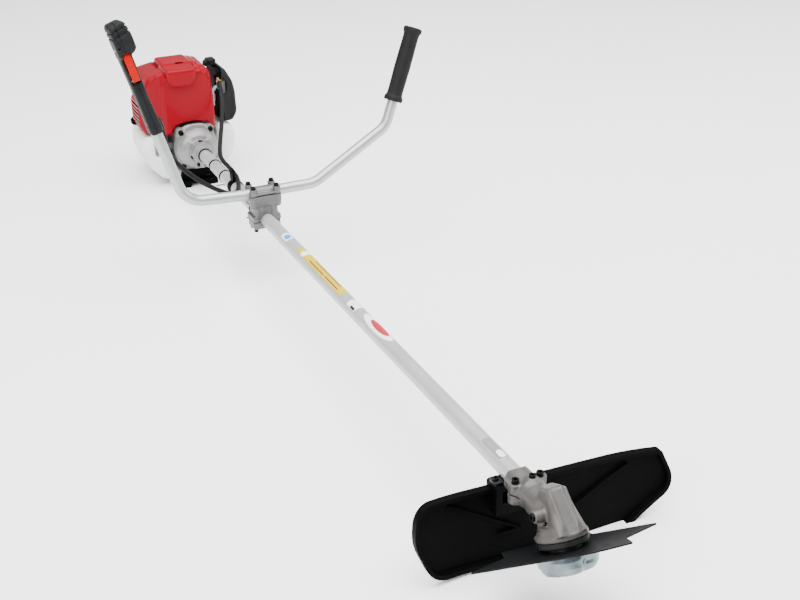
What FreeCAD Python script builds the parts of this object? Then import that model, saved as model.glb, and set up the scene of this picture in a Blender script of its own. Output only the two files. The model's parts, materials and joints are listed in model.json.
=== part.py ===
import FreeCAD, Part
import math
import os

V = FreeCAD.Vector

# ---------------------------------------------------------------- driving sizes (mm)
# Shaft frame: the drive shaft lies on the X axis, x = 0 is the front of the clutch
# case, +X runs to the cutter head, +Y is the operator's left and +Z is up.
REST_TILT = 1.3          # deg, shaft against the floor when the machine is put down
FLOOR_DROP = 101.9       # floor below the shaft axis at x = 0
GAP = 0.3                # air between faces of different bodies
RUN = 0.05               # radial running clearance

TUBE_R = 14.0
TUBE_WALL = 1.5
TUBE_START = -30.0
TUBE_END = 1448.0
DRIVE_R = 4.0

CASE_BACK = -81.0        # joint face between clutch case and crankcase
CASE_BOLT_Y = 36.0
CASE_BOLT_Z = 41.0
ENGINE_BACK = -274.0
CRANK_R = 8.0
CRANK_THROW = 15.0
BORE_R = 19.5
CYL_X = -139.0

CLAMP_X = 403.0          # handlebar clamp station
BAR_Z = 53.8
BAR_R = 11.1
BAR_WALL = 1.8
BAR_LEAN = 8.5           # deg, handlebar plane leans back towards the operator
HANGER_X = 220.0
BAND_X = 76.0

HEAD_X = 1507.0          # where the shaft axis meets the output axis
HEAD_ANGLE = 30.8        # deg, output axis against the vertical of the shaft frame
GEAR_TEETH = 20
PINION_TEETH = 15
LUG_X = 1431.0           # clamp screws of the gear case
PLUG_X = 1439.0
BLADE_R = 127.5
BLADE_T = 2.0
BLADE_H = 35.0           # top of the blade, along the output axis

ROPE_Z = -24.0           # the starter rope runs off the bottom of its reel

CABLE_R = 5.0
# corners of the cable's route from below the control grip to the carburettor
CABLE_TAIL = [(352, -176, 156), (344, -150, 116), (340, -116, 80), (338, -80, 52), (330, -48, 32),
              (304, -22, 22), (264, -6, 19.9), (220, 6, 19.6), (176, 12.4, 15.5), (128, 15.3, 13.1),
              (BAND_X, 16.1, 12.1), (36, 24, 18), (-2, 42, 44), (-34, 58, 78), (-60, 68, 108),
              (-84, 74.4, 131)]
ADJUSTER = (-99.0, 76.0, 138.5)    # where the cable meets its brass adjuster

SHAPES = {}


# ---------------------------------------------------------------- helpers
def add(name, *solids):
    """Keep one named piece, made of one or more separate solids."""
    flat = [s for shape in solids for s in shape.Solids]
    SHAPES[name] = flat[0] if len(flat) == 1 else Part.makeCompound(flat)


def box(x0, x1, y0, y1, z0, z1):
    return Part.makeBox(x1 - x0, y1 - y0, z1 - z0, V(x0, y0, z0))


def rod(p, q, r):
    d = V(*q) - V(*p)
    return Part.makeCylinder(r, d.Length, V(*p), d)


def fuse(*shapes):
    out = shapes[0]
    for s in shapes[1:]:
        out = out.fuse(s)
    return out.removeSplitter()


def cut(shape, *tools):
    for t in tools:
        shape = shape.cut(t)
    return shape


def lathe(profile, axis="x"):
    """Turn a closed (along, radius) outline about the X or the Z axis."""
    if axis == "x":
        pts = [V(a, 0, r) for a, r in profile]
        direction = V(1, 0, 0)
    else:
        pts = [V(r, 0, a) for a, r in profile]
        direction = V(0, 0, 1)
    face = Part.Face(Part.makePolygon(pts + [pts[0]]))
    return face.revolve(V(0, 0, 0), direction, 360)


def rounded_wire(points, place):
    """Closed wire through (u, v, radius) corners, each rounded as far as its sides allow."""
    corners = []
    count = len(points)
    for i, (u, v, r) in enumerate(points):
        p = V(u, v, 0)
        a = V(points[i - 1][0], points[i - 1][1], 0) - p
        b = V(points[(i + 1) % count][0], points[(i + 1) % count][1], 0) - p
        longest = 0.48 * min(a.Length, b.Length)
        a.normalize()
        b.normalize()
        half = a.getAngle(b) / 2
        if r <= 0 or half > 1.56:
            corners.append((p, None, p))
            continue
        reach = min(r / math.tan(half), longest)
        r = reach * math.tan(half)
        bisector = (a + b).normalize()
        middle = p + bisector * (r / math.sin(half) - r)
        corners.append((p + a * reach, middle, p + b * reach))
    edges = []
    for i, (start, middle, end) in enumerate(corners):
        if middle is not None:
            edges.append(Part.Arc(place(start), place(middle), place(end)).toShape())
        following = corners[(i + 1) % count][0]
        if (following - end).Length > 1e-6:
            edges.append(Part.makeLine(place(end), place(following)))
    return Part.Wire(edges)


def prism(points, axis, lo, hi):
    """Extrude a rounded outline along X (y, z), Y (x, z) or Z (x, y)."""
    place = {"x": lambda p: V(lo, p.x, p.y),
             "y": lambda p: V(p.x, lo, p.y),
             "z": lambda p: V(p.x, p.y, lo)}[axis]
    along = {"x": V(hi - lo, 0, 0), "y": V(0, hi - lo, 0), "z": V(0, 0, hi - lo)}[axis]
    return Part.Face(rounded_wire(points, place)).extrude(along)


def block(x0, x1, y0, y1, z0, z1, r, axis="x"):
    """Box whose four edges along one axis are rounded."""
    sides = {"x": ((y0, z0), (y1, z0), (y1, z1), (y0, z1)),
             "y": ((x0, z0), (x1, z0), (x1, z1), (x0, z1)),
             "z": ((x0, y0), (x1, y0), (x1, y1), (x0, y1))}[axis]
    lo, hi = {"x": (x0, x1), "y": (y0, y1), "z": (z0, z1)}[axis]
    return prism([(u, v, r) for u, v in sides], axis, lo, hi)


def rounded_path(points, radii=None, share=0.45):
    """Open wire of straight runs and tangent arcs, and the arcs' radii."""
    pts = [V(*p) for p in points]
    edges = []
    used = []
    last = pts[0]
    for i in range(1, len(pts) - 1):
        a = pts[i - 1] - pts[i]
        b = pts[i + 1] - pts[i]
        short = min(a.Length, b.Length)
        a.normalize()
        b.normalize()
        half = a.getAngle(b) / 2
        r = radii[i - 1] if radii else share * short * math.tan(half)
        reach = r / math.tan(half)
        start = pts[i] + a * reach
        end = pts[i] + b * reach
        middle = pts[i] + (a + b).normalize() * (r / math.sin(half) - r)
        edges.append(Part.makeLine(last, start))
        edges.append(Part.Arc(start, middle, end).toShape())
        used.append(r)
        last = end
    edges.append(Part.makeLine(last, pts[-1]))
    return Part.Wire(edges), used


def pipe(wire, r):
    start = wire.Edges[0]
    p = start.valueAt(start.FirstParameter)
    direction = start.tangentAt(start.FirstParameter)
    profile = Part.Wire(Part.makeCircle(r, p, direction))
    return wire.makePipeShell([profile], True, False)


def socket_screw(p, direction, r, head_r, head_h, length):
    """Cap screw with a hexagon socket; p is the seat under its head."""
    d = V(*direction).normalize()
    seat = V(*p)
    head = Part.makeCylinder(head_r, head_h, seat, d)
    shank = Part.makeCylinder(r, length, seat - d * length, d)
    side = d.cross(V(0.3, 1, 0.2)).normalize()
    up = d.cross(side)
    top = seat + d * head_h
    hexagon = []
    for i in range(7):
        a = i * math.pi / 3
        hexagon.append(top + (side * math.cos(a) + up * math.sin(a)) * head_r * 0.55)
    pocket = Part.Face(Part.makePolygon(hexagon)).extrude(d * (-head_h * 0.6))
    return fuse(head, shank).cut(pocket)


def turned(shape, angle, axis=(1, 0, 0), centre=(0, 0, 0)):
    out = shape.copy()
    out.rotate(V(*centre), V(*axis), angle)
    return out


# ---------------------------------------------------------------- local frames
HEAD_PLACE = FreeCAD.Placement(V(HEAD_X, 0, 0), FreeCAD.Rotation(V(0, 1, 0), 180 - HEAD_ANGLE))


def on_head(shape):
    """From the output-shaft frame (+Z down its axis, +X to the engine) to the shaft frame."""
    out = shape.copy()
    out.Placement = HEAD_PLACE.multiply(out.Placement)
    return out


LEAN = math.radians(BAR_LEAN)


def bar_point(y, s, forward=0.0):
    """Point of the handlebar plane: y to the left, s up the plane, forward off it."""
    return (CLAMP_X - s * math.sin(LEAN) + forward * math.cos(LEAN), y,
            BAR_Z + s * math.cos(LEAN) + forward * math.sin(LEAN))


# ================================================================ shaft and clutch
def shaft_group():
    tube = cut(rod((TUBE_START, 0, 0), (TUBE_END, 0, 0), TUBE_R),
               rod((TUBE_START - 1, 0, 0), (TUBE_END + 1, 0, 0), TUBE_R - TUBE_WALL))
    add("main_tube", tube)

    inner = TUBE_R - TUBE_WALL
    bushes = []
    for i in range(5):
        x = 110 + i * 300
        bush = lathe([(x, DRIVE_R + RUN), (x + 34, DRIVE_R + RUN), (x + 34, DRIVE_R + 2.5),
                      (x + 27, DRIVE_R + 2.5), (x + 27, inner), (x + 7, inner),
                      (x + 7, DRIVE_R + 2.5), (x, DRIVE_R + 2.5)])
        bushes.append(bush)
    add("shaft_bushes", *bushes)

    add("drive_shaft", rod((-46, 0, 0), (1476, 0, 0), DRIVE_R))


def clutch_group():
    # drum: cup open to the engine, hub carried by the case bearing
    drum = lathe([(-75, 37.2), (-75, 40), (-51, 40), (-48, 37), (-48, 9), (-46, 9), (-46, CRANK_R),
                  (-33, CRANK_R), (-33, DRIVE_R), (-51, DRIVE_R), (-51, 37.2)])
    slots = [turned(box(-70, -58, 36, 41, -4, 4), a) for a in (0, 90, 180, 270)]
    add("clutch_drum", cut(drum, *slots))

    # two shoes on a carrier screwed to the crankshaft
    ring = lathe([(-73, 13), (-73, 36), (-57, 36), (-57, 13)])
    split = [box(-80, -50, -3, 3, -40, 40)]
    shoes = cut(ring, *split)
    carrier = lathe([(-76.5, CRANK_R), (-76.5, 24), (-73.2, 24), (-73.2, CRANK_R)])
    pins = [rod((-73.2, y, z), (-55, y, z), 3) for y, z in ((22, 12), (-22, -12))]
    holes = [rod((-80, y, z), (-50, y, z), 3) for y, z in ((22, 12), (-22, -12))]
    spring = lathe([(-68, 10), (-68, 12.6), (-62, 12.6), (-62, 10)])
    add("clutch_shoes", cut(shoes, *holes), carrier, *pins, spring)

    # cast case: bolt flange, bell, nose with the tube socket
    outer = lathe([(CASE_BACK, 0), (CASE_BACK, 52), (-66, 52), (-56, 49), (-47, 43), (-41, 34),
                   (-38, 27), (-12, 22), (-12, 20), (-4, 20), (-4, 18), (0, 18), (0, 0)])
    ears = []
    for sy in (-1, 1):
        for sz in (-1, 1):
            y, z = sy * CASE_BOLT_Y, sz * CASE_BOLT_Z
            ears.append(rod((CASE_BACK, y, z), (-66, y, z), 8.5))
    ribs = [turned(prism([(-66, 30, 0), (-66, 50, 0), (-40, 31, 0), (-14, 21, 0), (-14, 15, 0)],
                         "y", -2, 2), a) for a in (45, 135, 225, 315)]
    body = fuse(outer, *ears, *ribs)
    cavity = lathe([(CASE_BACK - 1, 0), (CASE_BACK - 1, 42), (-50, 42), (-44.5, 36), (-44.5, 16),
                    (-33.5, 16), (-33.5, 11), (TUBE_START, 11), (TUBE_START, TUBE_R),
                    (1, TUBE_R), (1, 0)])
    holes = [rod((CASE_BACK - 1, sy * CASE_BOLT_Y, sz * CASE_BOLT_Z),
                 (-60, sy * CASE_BOLT_Y, sz * CASE_BOLT_Z), 3) for sy in (-1, 1) for sz in (-1, 1)]
    holes += [rod((-66, sy * CASE_BOLT_Y, sz * CASE_BOLT_Z),
                  (-40, sy * CASE_BOLT_Y, sz * CASE_BOLT_Z), 6.2) for sy in (-1, 1) for sz in (-1, 1)]
    # access windows in the nose, and the split that lets it grip the tube
    windows = [box(-36, -27, -5, 5, 21, 30), box(-34, -25, -30, -19, -14, -6),
               box(-34, -25, 19, 30, -14, -6)]
    split = box(-24, 1, -1, 1, -30, -10)
    lug = fuse(block(-20, -6, -12, 12, -30, -15, 3, "x"))
    body = fuse(body, lug)
    lug_bolt_hole = rod((-13, -13, -24), (-13, 13, -24), 2.5)
    body = cut(body, cavity, *holes, *windows, split, lug_bolt_hole)
    add("clutch_case", body)

    bolts = []
    for sy in (-1, 1):
        for sz in (-1, 1):
            seat = (-66, sy * CASE_BOLT_Y, sz * CASE_BOLT_Z)
            bolts.append(socket_screw(seat, (1, 0, 0), 3, 5.5, 6, 30))
    bolts.append(socket_screw((-13, -12, -24), (0, -1, 0), 2.5, 4.5, 5, 22))
    return bolts


# ================================================================ engine
def crank_group():
    web_a = lathe([(-148, CRANK_R), (-148, 27), (-143, 27), (-143, CRANK_R)])
    web_b = lathe([(-135, CRANK_R), (-135, 27), (-130, 27), (-130, CRANK_R)])
    relief = box(-150, -128, -30, -14, 2, 30)
    relief = fuse(relief, box(-150, -128, 14, 30, 2, 30))
    pin = rod((-144, 0, CRANK_THROW), (-134, 0, CRANK_THROW), 6)
    front = rod((-134, 0, 0), (-57, 0, 0), CRANK_R)
    back = rod((-262, 0, 0), (-144, 0, 0), CRANK_R)
    webs = cut(fuse(web_a, web_b), relief)
    big_end = cut(rod((-142.5, 0, CRANK_THROW), (-135.5, 0, CRANK_THROW), 11),
                  rod((-143, 0, CRANK_THROW), (-135, 0, CRANK_THROW), 6 + RUN))
    add("crankshaft", fuse(webs, pin, front, back), big_end)

    wheel = lathe([(-226, CRANK_R), (-226, 58), (-220, 60), (-208, 60), (-208, 50), (-216, 46),
                   (-216, 18), (-208, 14), (-208, CRANK_R)])
    vanes = [turned(box(-238, -226, -1.2, 1.2, 34, 57), a) for a in range(0, 360, 24)]
    add("flywheel", fuse(wheel, *vanes))

    # the rod is parted above its big end, which turns with the crank
    small = rod((-142.5, 0, 70), (-135.5, 0, 70), 8)
    beam = box(-142.5, -135.5, -4, 4, CRANK_THROW + 12, 70)
    bore = rod((-150, 0, 70), (-120, 0, 70), 5 + RUN)
    add("con_rod", cut(fuse(small, beam), bore))

    crown = Part.makeCylinder(BORE_R - RUN, 30, V(CYL_X, 0, 60))
    room = Part.makeCylinder(BORE_R - 3.5, 25, V(CYL_X, 0, 59))
    wrist = rod((CYL_X - 17, 0, 70), (CYL_X + 17, 0, 70), 5)
    grooves = [cut(Part.makeCylinder(25, 1.5, V(CYL_X, 0, z)),
                   Part.makeCylinder(BORE_R - 1.5, 1.5, V(CYL_X, 0, z))) for z in (79, 83, 86)]
    add("piston", cut(crown, room, *grooves), wrist)


def block_group():
    body = block(-198, CASE_BACK, -48, 48, -56, 42, 10)
    flange = fuse(*[rod((CASE_BACK - 12, sy * CASE_BOLT_Y, sz * CASE_BOLT_Z),
                        (CASE_BACK, sy * CASE_BOLT_Y, sz * CASE_BOLT_Z), 8.5)
                    for sy in (-1, 1) for sz in (-1, 1)])
    oil_neck = rod((-108, -64, 0), (-108, -40, 0), 10)
    body = fuse(body, flange, oil_neck)
    inside = block(-191, CASE_BACK - 8, -42, 42, -50, 36, 5)
    bosses = [rod((-192, 0, 0), (-178, 0, 0), 17), rod((-102, 0, 0), (CASE_BACK - 7, 0, 0), 17)]
    bosses += [rod((CASE_BACK - 20, sy * CASE_BOLT_Y, sz * CASE_BOLT_Z),
                   (CASE_BACK - 7, sy * CASE_BOLT_Y, sz * CASE_BOLT_Z), 6)
               for sy in (-1, 1) for sz in (-1, 1)]
    chamber = cut(inside, *bosses)
    journal = rod((-199, 0, 0), (CASE_BACK + 1, 0, 0), CRANK_R + RUN)
    bore = Part.makeCylinder(BORE_R + 3, 60, V(CYL_X, 0, 10))
    bolt_holes = [rod((-97, sy * CASE_BOLT_Y, sz * CASE_BOLT_Z),
                      (CASE_BACK + 1, sy * CASE_BOLT_Y, sz * CASE_BOLT_Z), 3)
                  for sy in (-1, 1) for sz in (-1, 1)]
    oil_bore = rod((-108, -65, 0), (-108, -44, 0), 7.5)
    add("crankcase", cut(body, chamber, journal, bore, *bolt_holes, oil_bore))

    barrel = Part.makeCylinder(BORE_R + 3, 100, V(CYL_X, 0, 42.0))
    fins = [block(CYL_X - 36, CYL_X + 34, -36, 36, 52 + i * 9, 55 + i * 9, 12, "z") for i in range(8)]
    head = block(CYL_X - 30, CYL_X + 28, -30, 30, 124, 146, 8, "z")
    inner = Part.makeCylinder(BORE_R, 66, V(CYL_X, 0, 41))
    plug_hole = Part.makeCylinder(5, 60, V(CYL_X, 0, 100))
    valve_room = block(CYL_X - 24, CYL_X + 22, 10, 26, 128, 142, 3, "z")
    foot = box(CYL_X - 30, CYL_X + 30, -30, 30, 42, 46)
    add("cylinder", cut(fuse(foot, barrel, *fins, head), inner, plug_hole, valve_room))

    plug = lathe([(108, 0), (108, 2), (112, 2), (112, 5), (146, 5), (146, 9.5), (152, 9.5),
                  (152, 6), (168, 5), (172, 3), (176, 3), (176, 0)], "z")
    plug.translate(V(CYL_X, 0, 0))
    add("spark_plug", plug)
    cap = lathe([(153, 6.3), (153, 9), (184, 9), (184, 0), (177, 0), (177, 6.3)], "z")
    cap.translate(V(CYL_X, 0, 0))
    lead, _ = rounded_path([(CYL_X, 8.8, 180), (CYL_X, 20, 177), (CYL_X - 12, 37, 165),
                            (CYL_X - 30, 44, 146)], [14, 20])
    add("plug_cap", fuse(cap, pipe(lead, 3)))

    # muffler against the exhaust port, with its tail opening
    can = block(-174, -102, -106, -58, 40, 112, 10, "y")
    room = block(-172, -104, -104, -60, 42, 110, 8, "y")
    flange = box(CYL_X - 16, CYL_X + 16, -58, -36.2, 64, 66.8)
    neck = rod((CYL_X, -60, 70), (CYL_X, -36.2, 70), 9)
    tail = rod((-150, -109, 52), (-150, -100, 52), 5)
    can = cut(fuse(can, neck, flange), room, rod((CYL_X, -61, 70), (CYL_X, -36, 70), 6), tail)
    add("muffler", can)

    # carburettor between inlet port and air cleaner
    carb = fuse(block(-160, -120, 44, 68, 74, 112, 4, "y"), rod((CYL_X, 36.2, 92), (CYL_X, 74, 92), 10),
                rod((-140, 56, 56), (-140, 56, 74), 13.5))
    venturi = rod((CYL_X, 36, 92), (CYL_X, 75, 92), 6.5)
    shaft_hole = rod((-118, 56, 104), (-126, 56, 104), 3)
    primer_well = rod((-140, 56, 55), (-140, 56, 67), 11.4)
    add("carburettor", cut(carb, venturi, shaft_hole, primer_well))


def throttle_group():
    # arm on the end of the throttle shaft, swung by the cable
    hub = rod((-125.5, 56, 104), (-112, 56, 104), 3 - RUN)
    boss = rod((-117, 56, 104), (-112, 56, 104), 5)
    arm = prism([(52, 104, 2), (60, 104, 2), (76, 124, 3), (70, 128, 3)], "x", -117, -114.5)
    add("throttle_arm", fuse(hub, boss, arm))
    start = V(*ADJUSTER)
    along = (start - V(*CABLE_TAIL[-1])).normalize()
    body = Part.makeCylinder(3.2, 15, start, along)
    nut = Part.makeCylinder(5, 5, start + along * 4, along)
    add("cable_adjuster", fuse(body, nut))

    lever = fuse(rod((-168.4, 56, 84), (-160.3, 56, 84), 4),
                 prism([(52, 62, 2), (60, 62, 2), (60, 90, 3), (52, 90, 3)], "x", -168.4, -165.4),
                 block(-176, -165.4, 52, 60, 62, 66, 1.5, "y"))
    add("choke_lever", lever)

    dome = Part.makeSphere(11, V(-140, 56, 58))
    bulb = cut(dome, box(-160, -120, 30, 80, 58, 80))
    add("primer_bulb", fuse(bulb, Part.makeCylinder(11, 3.6, V(-140, 56, 58))))


CASE_Y = 84.0            # face of the air cleaner case that takes the element
CLEANER = (-196.0, -104.0, 38.0, 172.0)
COVER_HINGE = (-198.5, 86.0)     # (x, y) of the cover's upright hinge


def cleaner_group():
    x0, x1, z0, z1 = CLEANER
    tray = block(x0 + 4, x1 - 4, 74.3, CASE_Y, z0 + 6, z1 - 6, 12, "y")
    tray = cut(tray, block(x0 + 7, x1 - 7, 77, CASE_Y + 1, z0 + 9, z1 - 9, 10, "y"))
    front_opening = box(-128, x1, 70, CASE_Y - 2, 116, 150)
    tray = cut(tray, rod((CYL_X, 70, 92), (CYL_X, 80, 92), 6.5), front_opening)
    knuckles = [rod((*COVER_HINGE, z), (*COVER_HINGE, z + 7.6), 3) for z in (82, 116.4)]
    arms = [box(-198.5, -190, 80.5, 83.4, z, z + 7.6) for z in (82, 116.4)]
    add("air_cleaner_case", fuse(tray, *knuckles, *arms))

    element = block(x0 + 14, x1 - 14, 78, 96, z0 + 16, z1 - 36, 8, "y")
    add("air_cleaner_element", element)

    outline = [(x0, z0, 10), (x1, z0, 10), (x1, z1 - 18, 20), (x1 - 26, z1, 16), (x0, z1, 16)]
    outer = prism(outline, "y", CASE_Y + GAP, 118)
    inset = [(x0 + 2.5, z0 + 2.5, 8), (x1 - 2.5, z0 + 2.5, 8), (x1 - 2.5, z1 - 20, 18),
             (x1 - 27, z1 - 2.5, 14), (x0 + 2.5, z1 - 2.5, 14)]
    room = prism(inset, "y", CASE_Y - 1, 115.5)
    edges = [e for e in outer.Edges if e.BoundBox.YMin > 117.9]
    outer = outer.makeFillet(7, edges)
    bevel = [(88, z1 + 2, 0), (121, z1 - 56, 0), (140, z1 - 56, 0), (140, z1 + 20, 0), (88, z1 + 20, 0)]
    outer = cut(outer, prism(bevel, "x", x0 - 9, x1 + 9))
    inner_bevel = [(y - 3, z - 1.5, 0) for y, z, _ in bevel]
    room = cut(room, prism(inner_bevel, "x", x0 - 9, x1 + 9))
    cover = cut(outer, room)
    ribs = [box(x0 + 16, x1 - 30, 112, 115.6, z, z + 2) for z in (60, 78, 96)]
    barrel = rod((*COVER_HINGE, 90), (*COVER_HINGE, 116), 3)
    reliefs = [rod((*COVER_HINGE, z), (*COVER_HINGE, z + 8.6), 3.5) for z in (81.4, 116.0)]
    add("air_cleaner_cover", fuse(cut(fuse(cover, *ribs), *reliefs), barrel))

    # breather elbow from the case top back under the cover
    boot = block(-161, -139, 66, 83.6, z1 - 5.7, z1 + 10, 5, "y")
    elbow = fuse(boot, rod((-150, 56.6, 174), (-150, 70, 174), 6.5))
    add("breather_elbow", elbow)


def cover_outline(d):
    """Front view of the engine cover, pulled in by d all round."""
    return [(-68 + d, 28, 4), (-84 + d, 42, 14), (-102 + d, 70, 20), (-107 + d, 140, 30),
            (-90 + d, 168, 18), (-58 + d, 181 - d, 14), (40 - d, 181 - d, 12), (53 - d, 168, 14),
            (59 - d, 128, 30), (58 - d, 72, 20), (54 - d, 30, 3)]


def cover_group():
    wall = 2.5
    outer = prism(cover_outline(0), "x", -224, -84)
    front = [e for e in outer.Edges if e.BoundBox.XMin > -84.1 and e.BoundBox.ZMax > 100]
    outer = outer.makeFillet(20, [e for e in front if e.BoundBox.ZMin > 100])
    room = prism(cover_outline(wall), "x", -225, -84 - wall)
    room = room.makeFillet(18, [e for e in room.Edges if e.BoundBox.XMin > -86.6
                                and e.BoundBox.ZMin > 100])
    # boxed rise over the spark plug
    rise = prism([(-192, 150, 0), (-102, 150, 0), (-112, 186, 14), (-140, 192.5, 30),
                  (-192, 191, 10)], "y", -50, 30)
    rise = rise.makeFillet(5, [e for e in rise.Edges if e.BoundBox.ZMax > 185
                               and (e.BoundBox.YMax < -49.9 or e.BoundBox.YMin > 29.9)])
    nose = prism([(-120, 147, 24), (-68, 147, 24), (-70, 180, 8), (-84, 188, 10), (-120, 191.5, 0)],
                 "y", -54, 16)
    nose_room = prism([(-125, 151, 20), (-71, 151, 20), (-73, 178, 6), (-85, 185, 8), (-125, 188, 0)],
                      "y", -51.5, 13.5)
    rise_room = prism([(-189, 140, 0), (-104, 140, 0), (-114, 183.5, 12), (-141, 190, 28),
                       (-189, 188.5, 8)], "y", -47.5, 27.5)
    arch = fuse(box(-199.4, -80, -48.5, 48.5, 0, 42.5), rod((-90, 0, 0), (-80, 0, 0), 58),
                rod((-226, 0, 0), (-199, 0, 0), 74.5),
                *[rod((-94, sy * CASE_BOLT_Y, CASE_BOLT_Z), (-80, sy * CASE_BOLT_Y, CASE_BOLT_Z), 11)
                  for sy in (-1, 1)])
    side_gap = box(-230, -100, 50, 70, 0, 132)
    vents = [box(-184 + i * 11, -178 + i * 11, -56, -46, 182.5, 187.5) for i in range(4)]
    oval = fuse(rod((-112, -17, 180), (-112, -17, 212), 3), rod((-112, -7, 180), (-112, -7, 212), 3),
                box(-115, -109, -17, -7, 180, 212))
    shell = cut(fuse(outer, rise, nose), room, rise_room, nose_room, arch, side_gap, *vents, oval)
    left_open = box(-182, -99.5, -120, -57, 20, 128)
    cap_room = rod((-203, -102, 20), (-203, -102, 56), 21)
    shell = cut(shell, left_open, cap_room)
    add("top_cover", max(shell.Solids, key=lambda s: s.Volume))

    # slatted guard over the muffler
    panel = prism([(-74, 30, 4), (-110, 34, 10), (-118, 60, 16), (-118, 108, 14),
                   (-104.5, 127.5, 4), (-102, 127.5, 0), (-102, 122, 0), (-114, 104, 12),
                   (-114.5, 62, 14), (-107, 38, 8), (-74, 33.5, 2)], "x", -181, -100)
    slots = [box(-168, -108, -121, -111, 46 + i * 9, 51 + i * 9) for i in range(7)]
    add("muffler_guard", cut(panel, *slots))


def starter_group():
    # rear housing with its cooling grille; closed at the back
    outer = lathe([(-270, 0), (ENGINE_BACK, 40), (ENGINE_BACK, 54), (-262, 70), (-240, 74),
                   (-200, 74), (-200, 0)])
    room = lathe([(-267, 0), (-270, 40), (-270, 52), (-260, 66), (-240, 71), (-199, 71), (-199, 0)])
    shell = cut(outer, room)
    grille = [turned(box(-280, -258, -2.4, 2.4, 44, 60), a) for a in range(15, 360, 30)]
    post = rod((-270, 0, 0), (-264, 0, 0), 6)
    guide = block(-262, -240, 66, 82, -34, -14, 4, "y")
    rope_hole = rod((-251, 55, ROPE_Z), (-251, 90, ROPE_Z), 2.2)
    shell = fuse(cut(shell, *grille), post, cut(guide, room))
    shell = cut(shell, rope_hole, rod((-263, 0, 0), (-300, 0, 0), 1))
    add("starter_housing", shell)

    reel = lathe([(-258, 9), (-258, 38), (-256, 38), (-256, 22), (-246, 22), (-246, 38),
                  (-244, 38), (-244, 9)])
    add("starter_reel", reel)

    rope = rod((-251, 66, ROPE_Z), (-251, 88, ROPE_Z), 1.6)
    add("starter_rope", rope)
    bar = block(-262, -240, 82.3, 92, -38, -10, 4, "y")
    bar = fuse(bar, block(-258, -244, 92, 104, -46, -2, 5, "y"))
    add("starter_grip", cut(bar, rod((-251, 80, ROPE_Z), (-251, 88.3, ROPE_Z), 1.9)))


def tank_group():
    outline = [(-116, 28, 14), (-118, -8, 26), (-105, -50, 40), (-74, -82, 24), (62, -82, 24),
               (98, -52, 34), (108, -8, 30), (105, 30, 14), (62, 34, 12), (56, -66, 12),
               (-56, -66, 12), (-80, 28, 12)]
    tank = prism(outline, "x", -226, -96)
    lobes = [e for e in tank.Edges if abs(e.BoundBox.XMax - e.BoundBox.XMin) < 0.01]
    outside = []
    for e in lobes:
        mid = e.CenterOfMass
        if mid.y < -84 or mid.y > 66 or mid.z < -70:
            outside.append(e)
    tank = tank.makeFillet(4, outside)
    oil_room = box(-130, -90, -92, -50, -22, 40)
    tank = cut(tank, oil_room, rod((-230, 0, 0), (-199.5, 0, 0), 75))
    neck = rod((-203, -102, 20), (-203, -102, 34), 14)
    hollow = prism([(-112.8, 25, 11), (-114.7, -8, 23), (-102, -48.5, 37), (-72.8, -78.8, 21),
                    (60.8, -78.8, 21), (95, -50.5, 31), (104.7, -8, 27), (102, 27, 11), (64.8, 30.9, 9),
                    (59, -69, 12), (-58, -69, 12), (-82.2, 25, 9)], "x", -222, -100)
    hollow = cut(hollow, box(-134, -86, -96, -46, -26, 44), rod((-230, 0, 0), (-195.5, 0, 0), 79))
    filler = rod((-203, -102, 18), (-203, -102, 35), 10)
    add("fuel_tank", cut(fuse(tank, neck), hollow, filler))

    cap = lathe([(34.3, 0), (34.3, 15), (37, 17), (46, 17), (48, 15), (48, 0)], "z")
    cap.translate(V(-203, -102, 0))
    knurls = [turned(box(-203 - 1.5, -203 + 1.5, -102 + 16.2, -102 + 18, 36, 47), a,
                     (0, 0, 1), (-203, -102, 0)) for a in range(0, 360, 24)]
    add("fuel_cap", cut(cap, *knurls))

    oil = fuse(rod((-108, -76, 0), (-108, -64.3, 0), 12), rod((-108, -64.3, 0), (-108, -46, 0), 7.2),
               box(-118, -98, -82, -76, -2.5, 2.5))
    add("oil_cap", oil)

    # black stand under the tank, its sole cut to lie flat on the floor
    plate = box(-212, -72, -46, 46, -120, -84)
    floor = floor_block()
    front = prism([(-34, -58, 4), (34, -58, 4), (44, -90, 6), (-44, -90, 6)], "x", -94.7, -84)
    gaps = [box(-190, -96, -34, 34, -130, -88), box(-220, -60, -20, 20, -130, -90)]
    add("engine_foot", cut(fuse(plate, front), floor, *gaps))


def floor_block():
    """Everything under the floor, in the shaft frame."""
    slab = box(-3000, 3000, -600, 600, -400, 0)
    slab.rotate(V(0, 0, 0), V(0, 1, 0), REST_TILT)
    slab.translate(V(0, 0, -FLOOR_DROP))
    return slab


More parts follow.
